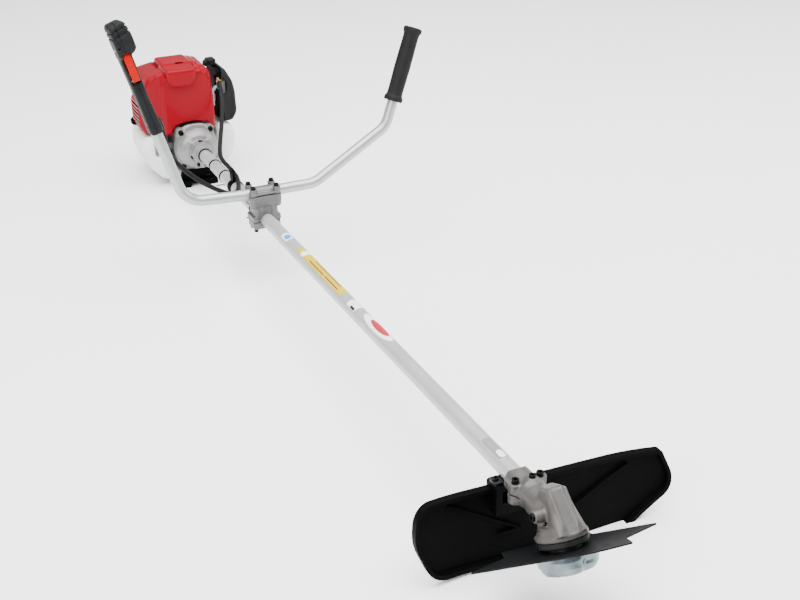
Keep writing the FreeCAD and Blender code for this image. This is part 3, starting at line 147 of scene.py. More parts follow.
def bumps(tree, bsdf, layers):
    """Stack bump layers of (height socket, depth in millimetres)."""
    last = None
    for height, depth in layers:
        node = tree.nodes.new("ShaderNodeBump")
        node.inputs["Strength"].default_value = 1.0
        node.inputs["Distance"].default_value = depth / 1000
        tree.links.new(height, node.inputs["Height"])
        if last is not None:
            tree.links.new(last, node.inputs["Normal"])
        last = node.outputs["Normal"]
    tree.links.new(last, bsdf.inputs["Normal"])


def surface(name, colour, rough, metallic=0.0, mottle=0.08, patch=30.0, grain=900.0, depth=0.02,
            wave=None, coat=0.0, stretch=(1, 1, 1), specular=0.5):
    """Finish with uneven colour and gloss, a fine grain and, if asked, a longer wave."""
    material, tree, bsdf = shader_nodes(name)
    patches = noise(tree, patch, 5.0, stretch)
    fine = noise(tree, grain, 3.0, stretch)
    tint = ramp(tree, patches, [(0.3, shade(colour, 1 - mottle)), (0.7, shade(colour, 1 + mottle))])
    tree.links.new(tint, bsdf.inputs["Base Color"])
    tree.links.new(spread(tree, patches, max(0.02, rough - 0.07), min(1.0, rough + 0.07)),
                   bsdf.inputs["Roughness"])
    bsdf.inputs["Metallic"].default_value = metallic
    bsdf.inputs["Specular IOR Level"].default_value = specular
    bsdf.inputs["Coat Weight"].default_value = coat
    bsdf.inputs["Coat Roughness"].default_value = 0.06
    layers = [(fine, depth)]
    if wave:
        layers.insert(0, (noise(tree, wave[0], 2.0), wave[1]))
    bumps(tree, bsdf, layers)
    return material


def cast_metal(name, colour, rough=0.42, metallic=0.85):
    """Die casting: soft pits, darker in the pits, sheen on the skin."""
    return surface(name, colour, rough, metallic, mottle=0.12, patch=55, grain=700, depth=0.05,
                   wave=(160, 0.10))


def moulded(name, colour, rough=0.5, depth=0.035, specular=0.1):
    """Textured plastic or rubber with a dull skin."""
    return surface(name, colour, rough, 0.0, mottle=0.16, patch=40, grain=1500, depth=depth,
                   specular=specular)


def turned_steel(name, colour, rough=0.3, stretch=(1, 1, 1)):
    """Machined metal with a fine grain."""
    return surface(name, colour, rough, 1.0, mottle=0.1, patch=70, grain=900, depth=0.01, stretch=stretch)


def translucent(name, colour):
    """Natural blow-moulded tank plastic: milky, lit from behind through the wall."""
    material = surface(name, colour, 0.38, 0.0, mottle=0.04, patch=14, grain=400, depth=0.03,
                       wave=(45, 0.25))
    bsdf = material.node_tree.nodes["Principled BSDF"]
    bsdf.inputs["Subsurface Weight"].default_value = 0.6
    bsdf.inputs["Subsurface Radius"].default_value = (0.02, 0.02, 0.018)
    bsdf.inputs["Subsurface Scale"].default_value = 0.5
    return material


FINISH = {
    "cover_red": surface("cover_red", (0.2, 0.0001, 0.0065), 0.2, 0.0, mottle=0.03, patch=8, grain=220,
                         depth=0.004, wave=(28, 0.03), coat=0.05, specular=0.06),
    "black_plastic": moulded("black_plastic", (0.0012, 0.0013, 0.0014), 0.55, 0.03, 0.03),
    "grey_plastic": moulded("grey_plastic", (0.0095, 0.0098, 0.01), 0.45),
    "grip_plastic": moulded("grip_plastic", (0.0095, 0.01, 0.0105), 0.5, 0.06),
    "black_rubber": moulded("black_rubber", (0.009, 0.0092, 0.0092), 0.6, 0.05),
    "foam": surface("foam", (0.3, 0.28, 0.24), 0.95, mottle=0.3, patch=300, grain=900, depth=0.4),
    "trigger_plastic": surface("trigger_plastic", (0.33, 0.003, 0.0005), 0.3, 0.0, mottle=0.05, patch=30,
                               grain=600, depth=0.01, coat=0.05, specular=0.1),
    "silver_casting": cast_metal("silver_casting", (0.11, 0.11, 0.108), 0.4, 0.6),
    "clutch_casting": cast_metal("clutch_casting", (0.2, 0.197, 0.195), 0.4, 0.5),
    "engine_casting": cast_metal("engine_casting", (0.07, 0.07, 0.07), 0.5, 0.6),
    "head_casting": cast_metal("head_casting", (0.08, 0.075, 0.071), 0.46, 0.45),
    "zinc_casting": cast_metal("zinc_casting", (0.35, 0.35, 0.35)),
    "bright_alloy": turned_steel("bright_alloy", (0.35, 0.35, 0.35)),
    "bright_steel": turned_steel("bright_steel", (0.5, 0.5, 0.51), 0.25, (1, 6, 6)),
    "dark_steel": turned_steel("dark_steel", (0.03, 0.03, 0.031), 0.5),
    "blade_steel": surface("blade_steel", (0.006, 0.0063, 0.007), 0.46, 0.2, mottle=0.18, patch=22,
                           grain=500, depth=0.02, specular=0.15),
    "zinc_steel": surface("zinc_steel", (0.15, 0.19, 0.2), 0.26, 0.95, mottle=0.5, patch=24, grain=420,
                          depth=0.02, wave=(90, 0.06)),
    "screw_steel": turned_steel("screw_steel", (0.012, 0.0115, 0.011), 0.42),
    "brass": turned_steel("brass", (0.75, 0.45, 0.12), 0.25),
    "bar_paint": surface("bar_paint", (0.38, 0.39, 0.4), 0.34, 0.6, mottle=0.04, patch=18, grain=1200,
                         depth=0.01, coat=0.2),
    "tube_paint": surface("tube_paint", (0.38, 0.377, 0.387), 0.36, 0.3, mottle=0.04, patch=14, grain=1000,
                          depth=0.01, wave=(60, 0.03), coat=0.15),
    "tank_plastic": translucent("tank_plastic", (0.72, 0.72, 0.7)),
    "clear_rubber": translucent("clear_rubber", (0.6, 0.6, 0.52)),
    "ceramic": surface("ceramic", (0.9, 0.9, 0.88), 0.2, mottle=0.02, patch=20, grain=300, depth=0.005),
    "rope": surface("rope", (0.75, 0.75, 0.72), 0.8, mottle=0.2, patch=500, grain=2000, depth=0.2),
}

for part in frame["record"]["subparts"]:
    mesh = frame["nodes"][part["node"]].data
    mesh.materials.clear()
    mesh.materials.append(FINISH[part["material_slot"]])

# ---------------------------------------------------------------- solids as distance fields
class Grid:
    """Block of sample points in millimetres, at a fixed step, in one frame."""

    def __init__(self, low, high, step):
        self.low = np.array(low, float)
        self.step = step
        axes = [np.arange(a, b + step, step, dtype=np.float32) for a, b in zip(low, high)]
        self.x, self.y, self.z = np.meshgrid(*axes, indexing="ij", sparse=True)
        self.shape = tuple(len(a) for a in axes)


def rounded_pair(a, b, r):
    """Distance to the meeting of two walls whose common edge has radius r."""
    a, b = a + r, b + r
    return np.hypot(np.maximum(a, 0), np.maximum(b, 0)) + np.minimum(np.maximum(a, b), 0) - r


def rod(g, p, q, r, edge=0.0, r_end=None):
    """Round bar from p to q with flat ends; r_end makes it taper."""
    p, q = np.array(p, float), np.array(q, float)
    length = np.linalg.norm(q - p)
    u = (q - p) / length
    along = (g.x - p[0]) * u[0] + (g.y - p[1]) * u[1] + (g.z - p[2]) * u[2]
    square = (g.x - p[0]) ** 2 + (g.y - p[1]) ** 2 + (g.z - p[2]) ** 2
    radial = np.sqrt(np.maximum(square - along ** 2, 0))
    side = radial - r
    if r_end is not None:
        slope = (r_end - r) / length
        side = (radial - r - slope * along) / math.sqrt(1 + slope * slope)
    return rounded_pair(side, np.abs(along - length / 2) - length / 2, edge)


def slab(g, low, high, edge=0.0):
    """Box with rounded edges."""
    d = []
    for axis_values, lo, hi in zip((g.x, g.y, g.z), low, high):
        d.append(np.abs(axis_values - (lo + hi) / 2) - (hi - lo) / 2 + edge)
    outside = np.sqrt(sum(np.maximum(v, 0) ** 2 for v in d))
    inside = np.minimum(np.maximum(np.maximum(d[0], d[1]), d[2]), 0)
    return outside + inside - edge


def arcs(points):
    """Closed outline through (u, v, radius) corners, rounded with short chords."""
    out = []
    count = len(points)
    for i, (u, v, r) in enumerate(points):
        p = np.array((u, v), float)
        a = np.array(points[i - 1][:2], float) - p
        b = np.array(points[(i + 1) % count][:2], float) - p
        la, lb = np.linalg.norm(a), np.linalg.norm(b)
        a, b = a / la, b / lb
        half = math.acos(max(-1.0, min(1.0, float(a @ b)))) / 2
        if r <= 0 or half > 1.55:
            out.append(p)
            continue
        reach = min(r / math.tan(half), 0.48 * min(la, lb))
        r = reach * math.tan(half)
        bisector = (a + b) / np.linalg.norm(a + b)
        centre = p + bisector * (r / math.sin(half))
        start, end = p + a * reach - centre, p + b * reach - centre
        steps = max(2, int((math.pi - 2 * half) / 0.25))
        for k in range(steps + 1):
            t = k / steps
            spoke = start * (1 - t) + end * t
            out.append(centre + spoke / np.linalg.norm(spoke) * r)
    return out


def outline_distance(u, v, points):
    """Signed distance to a closed outline, negative inside."""
    best = np.full(np.broadcast(u, v).shape, 1e9, np.float32)
    inside = np.zeros(best.shape, bool)
    for i, p in enumerate(points):
        q = points[i - 1]
        eu, ev = q[0] - p[0], q[1] - p[1]
        wu, wv = u - p[0], v - p[1]
        t = np.clip((wu * eu + wv * ev) / max(eu * eu + ev * ev, 1e-9), 0, 1)
        best = np.minimum(best, (wu - eu * t) ** 2 + (wv - ev * t) ** 2)
        crosses = (p[1] > v) != (q[1] > v)
        if abs(ev) > 1e-9:
            inside ^= crosses & (u < p[0] + eu * (v - p[1]) / ev)
    return np.where(inside, -1, 1) * np.sqrt(best)


def prism(g, points, direction, low, high, edge=0.0):
    """Outline through (u, v, radius) corners, extruded along x (y, z), y (x, z) or z (x, y)."""
    u, v, w = {"x": (g.y, g.z, g.x), "y": (g.x, g.z, g.y), "z": (g.x, g.y, g.z)}[direction]
    flat = outline_distance(u, v, arcs(points))
    return rounded_pair(flat, np.abs(w - (low + high) / 2) - (high - low) / 2, edge)


def turned(g, profile):
    """Outline of (x, radius) corners turned about the x axis."""
    return outline_distance(g.x, np.hypot(g.y, g.z), profile)


def join(a, b, fillet=0.0):
    """Both solids, with a soft fillet where they meet."""
    if fillet <= 0:
        return np.minimum(a, b)
    h = np.maximum(fillet - np.abs(a - b), 0) / fillet
    return np.minimum(a, b) - h * h * fillet / 4


def carve(a, b, fillet=0.0):
    """The first solid without the second."""
    return -join(-a, b, fillet)


def meet(a, b, fillet=0.0):
    """What both solids share."""
    return -join(-a, -b, fillet)


def half_space(g, point, normal):
    """Negative on the side that the normal points away from."""
    n = Vector(normal).normalized()
    return (g.x - point[0]) * n.x + (g.y - point[1]) * n.y + (g.z - point[2]) * n.z


def mesh_piece(name, vertices, faces, slot, body, nodes=()):
    """Object from scene coordinates, riding on a body and standing for CAD nodes."""
    mesh = bpy.data.meshes.new(name)
    mesh.from_pydata([tuple(v) for v in vertices], [], [tuple(f) for f in faces])
    mesh.materials.append(FINISH[slot])
    mesh.polygons.foreach_set("use_smooth", [True] * len(mesh.polygons))
    mesh.validate()
    piece = bpy.data.objects.new(name, mesh)
    bpy.context.scene.collection.objects.link(piece)
    if body:
        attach(piece, body)
    if nodes:
        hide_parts(*nodes)
    return piece


def skin(name, g, field, place, slot, body, nodes=()):
    """Surface of a distance field, as quads."""
    band = 3.0 * g.step
    volume = openvdb.FloatGrid()
    volume.background = band
    volume.copyFromArray(np.clip(np.broadcast_to(field, g.shape), -band, band).astype(np.float32))
    points, quads = volume.convertToQuads(isovalue=0.0)
    points = points * g.step + g.low
    matrix = np.array(place)
    world = points @ matrix[:3, :3].T + matrix[:3, 3]
    return mesh_piece(name, world, quads[:, ::-1], slot, body, nodes)


# ---------------------------------------------------------------- engine
def red_cover():
    """Glossy engine cover: front shield, muffler-side shoulder, raised nose, vents, arch."""
    g = Grid((-230, -114, 14), (-60, 66, 200), 1.25)
    front = [(-69, 31, 3), (-67, 150, 12), (-60, 178, 22), (40, 180, 22), (53, 150, 30), (57.5, 110, 40),
             (58, 72, 30), (54, 31, 3)]
    shield = prism(g, front, "x", -215, -84, 9)
    side = [(-68, 28, 3), (-82, 42, 12), (-101, 68, 20), (-109, 130, 40), (-92, 167, 22), (-58, 181, 14),
            (44, 181, 14), (55, 168, 14), (60, 128, 30), (59, 72, 20), (55, 28, 3)]
    flank = prism(g, side, "x", -226, -90, 8)
    plan = [(-228, -112, 4), (-228, 64, 4), (-98, 62, 10), (-84, 50, 14), (-84, -66, 1), (-95, -78, 6),
            (-104, -112, 14)]
    flank = meet(flank, prism(g, plan, "z", 10, 205), 9)
    nose = prism(g, [(-54, 146, 27), (-55, 206, 8), (16, 206, 8), (14, 146, 27)], "x", -182, -67, 8)
    nose = meet(nose, half_space(g, (-84, 0, 189), (0.10, 0, 1)), 7)
    ledge = slab(g, (-196, 0, 150), (-104, 46, 190), 6)
    ledge = meet(ledge, half_space(g, (-150, 25, 186.5), (0.03, 0.25, 1)), 4)
    rise = slab(g, (-192, -50, 150), (-108, 30, 193), 6)
    rise = meet(rise, half_space(g, (-150, 0, 193), (-0.05, 0.03, 1)), 4)
    body = join(shield, flank, 2.5)
    body = join(body, join(ledge, rise, 5), 7)
    body = join(body, nose, 6)
    back_slope = half_space(g, (-186, 0, 192), (-0.62, 0, 1))
    body = meet(body, back_slope, 12)
    shell = carve(body, body + 2.6)
    below = slab(g, (-260, -120, -20), (-60, 120, 27), 0)
    behind = slab(g, (-260, -120, -20), (-223.5, 120, 240), 0)
    arch = prism(g, [(-48.5, -20, 0), (-48, 45, 6), (-38, 54, 12), (0, 60, 60), (34, 53, 12), (42, 44, 6),
                     (42.5, -20, 0)], "x", -110, -70)
    crank_room = slab(g, (-199.4, -48.5, 0), (-80, 48.5, 42.5))
    fan = rod(g, (-232, 0, 0), (-199, 0, 0), 74.5)
    right_gap = slab(g, (-230, 50, 0), (-100, 72, 132), 3)
    left_gap = slab(g, (-182, -120, 20), (-102.5, -58, 128), 4)
    cap_room = rod(g, (-203, -102, 10), (-203, -102, 56), 21)
    for opening in (below, behind, arch, crank_room, fan, right_gap, left_gap, cap_room):
        shell = carve(shell, opening, 0.8)
    for i in range(5):
        x = -179 + i * 10
        shell = carve(shell, slab(g, (x, -60, 176.5), (x + 6, -46, 188), 2), 0.8)
    hole = join(rod(g, (-112, -18, 180), (-112, -18, 212), 3.2),
                rod(g, (-112, -6, 180), (-112, -6, 212), 3.2))
    hole = join(hole, slab(g, (-115.2, -18, 180), (-108.8, -6, 212)))
    shell = carve(shell, hole, 1.2)
    skin("engine_cover", g, shell, SHAFT, "cover_red", "frame", ["top_cover"])


def slatted_side():
    """Louvred lower side of the cover, over the muffler."""
    g = Grid((-186, -124, 24), (-94, -66, 134), 1.2)
    outline = [(-74, 30, 4), (-110, 34, 14), (-119.5, 60, 22), (-119.5, 108, 20), (-105, 128, 6),
               (-70, 128, 0)]
    solid = prism(g, outline, "x", -182, -100.5, 9)
    shell = carve(solid, solid + 2.8)
    shell = carve(shell, slab(g, (-200, -104, 20), (-80, -40, 122), 4), 0.6)
    shell = carve(shell, slab(g, (-200, -88, 20), (-80, -40, 140)), 0.6)
    for i in range(7):
        z = 44 + i * 9.4
        shell = carve(shell, slab(g, (-170, -126, z), (-107, -106, z + 4.8), 2), 0.8)
    skin("cover_side", g, shell, SHAFT, "cover_red", "frame", ["muffler_guard"])


def clutch_housing():
    """Cast bell with bolted corners, a tapering nose with windows, and a split clamp."""
    g = Grid((-83, -56, -59), (6, 56, 59), 1.1)
    bell = turned(g, [(-81, 0), (-81, 52), (-67, 52), (-56, 49.5), (-46.5, 44.5), (-40, 36), (-37, 28),
                      (-14, 23), (-14, 0)])
    body = join(bell, rod(g, (-30, 0, 0), (-2, 0, 0), 19.5, 1.5), 4)
    plate = prism(g, [(sy * 46, sz * 54, 14) for sy, sz in ((-1, -1), (1, -1), (1, 1), (-1, 1))],
                  "x", -81, -73, 1.5)
    plate = meet(plate, rod(g, (-90, 0, 0), (-60, 0, 0), 57), 3)
    body = join(body, plate, 5)
    for sy in (-1, 1):
        for sz in (-1, 1):
            ear = (sy * 36.0, sz * 41.0)
            body = join(body, rod(g, (-81, *ear), (-66, *ear), 9, 1.0), 5)
            rib = rod(g, (-74, sy * 30, sz * 34), (-22, sy * 14, sz * 15), 2.6, 1.0)
            body = join(body, rib, 6)
    body = join(body, rod(g, (-20, 0, 0), (-12, 0, 0), 25, 2), 3)
    lug = slab(g, (-21, -12, -31), (-5, 12, -14), 3.5)
    body = join(body, lug, 4)
    cavity = turned(g, [(-90, 0), (-90, 42), (-50.5, 42), (-47, 37.5), (-45.5, 37.5), (-45.5, 16),
                        (-33.5, 16), (-33.5, 11), (-30, 11), (-30, SOCKET_R), (9, SOCKET_R), (9, 0)])
    body = carve(body, cavity, 0.5)
    for window in (((-36, -5, 21), (-27, 5, 34)), ((-34, -34, -14), (-25, -19, -6)),
                   ((-34, 19, -14), (-25, 34, -6))):
        body = carve(body, slab(g, *window, 1.5), 0.6)
    body = carve(body, slab(g, (-26, -1.1, -34), (6, 1.1, -8)), 0.6)
    for sy in (-1, 1):
        for sz in (-1, 1):
            ear = (sy * 36.0, sz * 41.0)
            body = carve(body, rod(g, (-66, *ear), (-40, *ear), 6.3), 0.8)
            body = carve(body, rod(g, (-83, *ear), (-60, *ear), 3))
    body = carve(body, rod(g, (-13, -15, -24), (-13, -11.8, -24), 5.2), 0.5)
    case = skin("clutch_housing", g, body, SHAFT, "silver_casting", "frame", ["clutch_case"])
    case.data.materials[0] = FINISH["clutch_casting"]        # lighter than its slot's finish


def fuel_tank():
    """Saddle-shaped milky tank around the crankcase, with a weld seam and a filler neck."""
    g = Grid((-229, -122, -86), (-92, 112, 38), 1.6)
    saddle = prism(g, [(-116, 29, 16), (-118, -8, 30), (-105, -50, 40), (-74, -83, 26), (62, -83, 26),
                       (98, -52, 38), (108, -8, 34), (105, 31, 16), (61, 34, 14), (55, -66, 18),
                       (-55, -66, 18), (-79, 28, 14)], "x", -226, -96, 15)
    for x in (-192, -130):
        dent = prism(g, [(-132, -16, 8), (-112, -16, 8), (-110, -2, 8), (-132, 4, 8)], "x", x - 4, x + 4, 3)
        saddle = carve(saddle, dent, 3)
    tank = carve(saddle, slab(g, (-130, -92, -22), (-88, -50, 42), 8), 4)
    tank = carve(tank, rod(g, (-240, 0, 0), (-199.5, 0, 0), 75), 2)
    tank = join(tank, rod(g, (-203, -102, 18), (-203, -102, 34), 14, 1), 4)
    tank = carve(tank, rod(g, (-203, -102, 22), (-203, -102, 40), 10.5))
    seam = np.abs(g.z + 12) - 1.0
    tank = join(tank, meet(tank - 0.7, seam), 1.0)
    skin("fuel_tank_skin", g, tank, SHAFT, "tank_plastic", "frame", ["fuel_tank"])


def air_cleaner():
    """Air cleaner cover: notch for the cable adjuster, panel, grooves and hinge knuckle."""
    g = Grid((-204, 56, 34), (-100, 122, 178), 1.2)
    outline = [(60, 42, 12), (84, 38, 10), (106, 38, 14), (118, 58, 26), (117, 108, 50),
               (112, 134, 30), (95, 166, 12), (80, 172, 12), (60, 172, 12)]
    solid = prism(g, outline, "x", -196, -103, 9)
    cover = meet(solid, 84.3 - g.y)
    shell = carve(cover, meet(solid + 2.6, 80 - g.y))
    notch = prism(g, [(70, 108, 0), (93, 108, 8), (96, 132, 8), (89, 146, 6), (70, 146, 0)], "x", -122, -98)
    shell = carve(shell, notch, 1.5)
    panel = prism(g, [(88, 50, 6), (102, 50, 6), (109, 62, 10), (108, 98, 8), (88, 98, 6)],
                  "x", -104.0, -99, 0.8)
    shell = carve(shell, panel, 1.0)
    for z in (56, 64, 72):
        groove = slab(g, (-178, 115, z), (-124, 130, z + 2.4), 1)
        shell = carve(shell, groove, 1.0)
    shell = join(shell, rod(g, (-198.5, 86, 90), (-198.5, 86, 116), 3, 0.4), 1.2)
    for z in (81.6, 116.3):
        shell = carve(shell, rod(g, (-198.5, 86, z), (-198.5, 86, z + 8), 3.4))
    skin("air_cleaner_skin", g, shell, SHAFT, "grey_plastic", "air_cleaner_cover", ["air_cleaner_cover"])


def breather():
    """Rubber elbow between the cover and the air cleaner."""
    g = Grid((-168, 52, 158), (-132, 90, 188), 0.9)
    boot = slab(g, (-162, 68, 166.4), (-138, 83.8, 182.5), 5)
    boot = join(boot, slab(g, (-164, 64, 178), (-136, 84.0, 183.5), 2.5), 2)
    body = join(boot, rod(g, (-150, 56.2, 174), (-150, 72, 174), 6.8, 1), 4)
    body = join(body, rod(g, (-150, 60, 174), (-150, 63.5, 174), 8.6, 1), 1.5)
    skin("breather", g, body, SHAFT, "black_rubber", "frame", ["breather_elbow"])


def starter():
    """Rear housing with a recessed ring of slots, a boss in the middle and a rope guide."""
    g = Grid((-277, -78, -78), (-196, 86, 78), 1.3)
    drum = turned(g, [(-200, 0), (-200, 74), (-240, 74), (-262, 70), (-271, 62), (-274, 52), (-274, 40),
                      (-270, 0)])
    inner = turned(g, [(-190, 0), (-190, 71), (-240, 71), (-260, 67), (-268, 59), (-270.5, 52),
                       (-270.5, 40), (-266.5, 0)])
    body = carve(drum, inner)
    angle = np.arctan2(g.z, g.y)
    ring = np.hypot(g.y, g.z)
    slots = 30
    wave = np.abs(((angle / (2 * math.pi) * slots) % 1.0) - 0.5) * (2 * math.pi * ring / slots)
    slot = np.maximum(np.maximum(wave - 2.0, 46 - ring), ring - 63)
    slot = np.maximum(slot, g.x + 255)
    body = carve(body, slot, 1.0)
    body = join(body, rod(g, (-272, 0, 0), (-264, 0, 0), 9, 1), 3)
    guide = slab(g, (-262, 66, -34), (-240, 82, -14), 4)
    body = join(body, carve(guide, inner), 3)
    body = carve(body, rod(g, (-251, 50, -24), (-251, 90, -24), 2.3), 0.6)
    for a in (0.5, 2.1, 3.7, 5.3):
        y, z = 70 * math.cos(a), 70 * math.sin(a)
        body = join(body, rod(g, (-222, y, z), (-200, y, z), 6.5, 1), 3)
    body = carve(body, slab(g, (-210, -60, 45), (-190, 60, 90)), 0.8)
    skin("starter_case", g, body, SHAFT, "black_plastic", "frame", ["starter_housing"])


# ---------------------------------------------------------------- handle clamp
CLAMP_SPOTS = [(sx * 15.5, sy * 24.5) for sx in (-1, 1) for sy in (-1, 1)]


def clamp_parts():
    """Cap over the handlebar, body between bar and tube, and jaw under the tube."""
    x, bar_z, half = CLAMP_X, BAR_Z, 24.0
    g = Grid((x - 28, -36, 50), (x + 28, 36, 72), 0.8)
    cap = slab(g, (x - half + 3, -30, bar_z + 0.6), (x + half - 3, 30, bar_z + 5), 2)
    cap = join(cap, rod(g, (x, -27, bar_z), (x, 27, bar_z), 13.8, 1.5), 2)
    for dx, y in CLAMP_SPOTS:
        cap = join(cap, rod(g, (x + dx, y, bar_z), (x + dx, y, bar_z + 15), 7.6, 1.2), 1.5)
    cap = meet(cap, bar_z + 0.6 - g.z)
    cap = carve(cap, rod(g, (x, -60, bar_z), (x, 60, bar_z), BAR_HOLE_R))
    skin("clamp_top", g, cap, SHAFT, "silver_casting", "frame", ["clamp_cap"])

    g = Grid((x - 28, -36, -4), (x + 28, 36, 55), 0.9)
    body = slab(g, (x - half, -32, 34), (x + half, 32, bar_z + 4), 7)
    stem = slab(g, (x - 21, -24, -6), (x + 21, 24, 44), 6)
    body = join(body, stem, 7)
    for dx, y in CLAMP_SPOTS:
        body = join(body, rod(g, (x + dx, y, 28), (x + dx, y, 60), 7.8, 2), 4)
    for sy in (-1, 1):
        body = join(body, slab(g, (x - 21, sy * 24.5 - 5, -6), (x + 21, sy * 24.5 + 5, 10), 3), 4)
    body = meet(body, g.z - (bar_z - 0.6))
    body = meet(body, -1 - g.z)
    body = carve(body, rod(g, (x, -60, bar_z), (x, 60, bar_z), BAR_HOLE_R))
    body = carve(body, rod(g, (x - 40, 0, 0), (x + 40, 0, 0), SOCKET_R), 0.5)
    for sx in (-1, 1):
        body = carve(body, slab(g, (x + sx * 24 - 5, -11, 14), (x + sx * 24 + 5, 11, 31), 4), 2)
    skin("clamp_middle", g, body, SHAFT, "silver_casting", "frame", ["clamp_body"])

    g = Grid((x - 24, -34, -23), (x + 24, 34, 0), 0.8)
    jaw = slab(g, (x - 19, -29, -19), (x + 19, 29, 2), 5)
    jaw = meet(jaw, g.z + 2.6)
    jaw = carve(jaw, rod(g, (x - 40, 0, 0), (x + 40, 0, 0), SOCKET_R), 0.5)
    skin("clamp_bottom", g, jaw, SHAFT, "silver_casting", "frame", ["clamp_jaw"])


# ---------------------------------------------------------------- grips
SLEEVE_AT = (-10.6, 13.1, 0.0)       # where the cable leaves the control grip


def control_grip():
    """Two moulded halves meeting on the grip's middle plane, with a wide head on top."""
    g = Grid((-26, -20, -4), (32, 30, 226), 0.95)
    side = [(-16, 0, 4), (15, 0, 4), (19.5, 14, 14), (17, 40, 40), (14.6, 70, 60), (15, 154, 14),
            (25, 162, 10), (25, 186, 18), (17, 200, 18), (12, 220, 5), (-16, 220, 8),
            (-21, 178, 40), (-15, 140, 40), (-15, 60, 40), (-19, 30, 24), (-19, 12, 8)]
    body = prism(g, side, "y", -14.8, 14.8, 8)
    swell = 14.8 - 1.9 * np.exp(-((g.z - 78) / 34.0) ** 2) + 1.2 * np.exp(-((g.z - 12) / 14.0) ** 2)
    body = meet(body, np.abs(g.y) - swell, 9)
    head = prism(g, [(-12.4, 150, 8), (-12.6, 215, 6), (14, 222, 10), (21, 213, 9), (24.4, 190, 34),
                     (24, 165, 10), (16, 158, 10), (6, 157, 10)], "x", -17, 27, 8)
    body = join(body, head, 5)
    for z in (196, 206.5):
        groove = np.abs(g.z - z - 0.16 * g.y) - 1.5
        body = carve(body, meet(groove, -(body + 2.4)), 0.6)
    well = slab(g, (-4, -8, 102), (22, 8, 184), 1)
    slot = slab(g, (6, -7.9, 103.5), (44, 7.9, 162.5), 3)
    back_slot = slab(g, (-44, -5, 104), (-3, 5, 162), 2)
    switch_room = slab(g, (-9.8, 18.2, 179.3), (8.2, 40, 188.3), 0.5)
    for hollow in (well, slot, back_slot):
        body = carve(body, hollow, 1.0)
    body = carve(body, switch_room)
    frame_line = prism(g, [(-5.5, 164, 5), (-5.5, 192, 4), (19, 196, 4), (21, 166, 7)], "x", 24, 40)
    body = carve(body, meet(np.abs(frame_line + 0.9) - 0.9, -(body + 1.2)), 0.5)
    body = carve(body, rod(g, (12, -8, 174), (40, -8, 174), 2.0), 0.6)
    for x, z in ((-11, 168), (-6, 212), (-4, 60), (4, 18)):
        body = carve(body, rod(g, (x, -24, z), (x, -10.5, z), 2.6), 0.6)
    bar = rod(g, (0, 0, -10), (0, 0, 84.5), 11.2)
    sleeve = rod(g, (*SLEEVE_AT[:2], -6), (*SLEEVE_AT[:2], 22), 5.3)
    boss = rod(g, (*SLEEVE_AT[:2], 0), (*SLEEVE_AT[:2], 24), 7.4, 2)
    body = join(body, meet(boss, -g.z), 4)
    body = carve(body, join(sleeve, bar))
    near = meet(body, 0.1 - g.y, 0.4)
    far = meet(body, g.y + 0.1, 0.4)
    skin("grip_half_near", g, near, CONTROL, "grip_plastic", "handlebar", ["control_shell_inner"])
    skin("grip_half_far", g, far, CONTROL, "grip_plastic", "handlebar", ["control_shell_outer"])


# ---------------------------------------------------------------- cutter head
IN_HEAD = HEAD.inverted() @ SHAFT


def in_head(x, y, z):
    """Point of the shaft frame, told in the output shaft's frame."""
    return tuple(IN_HEAD @ Vector((x, y, z)))


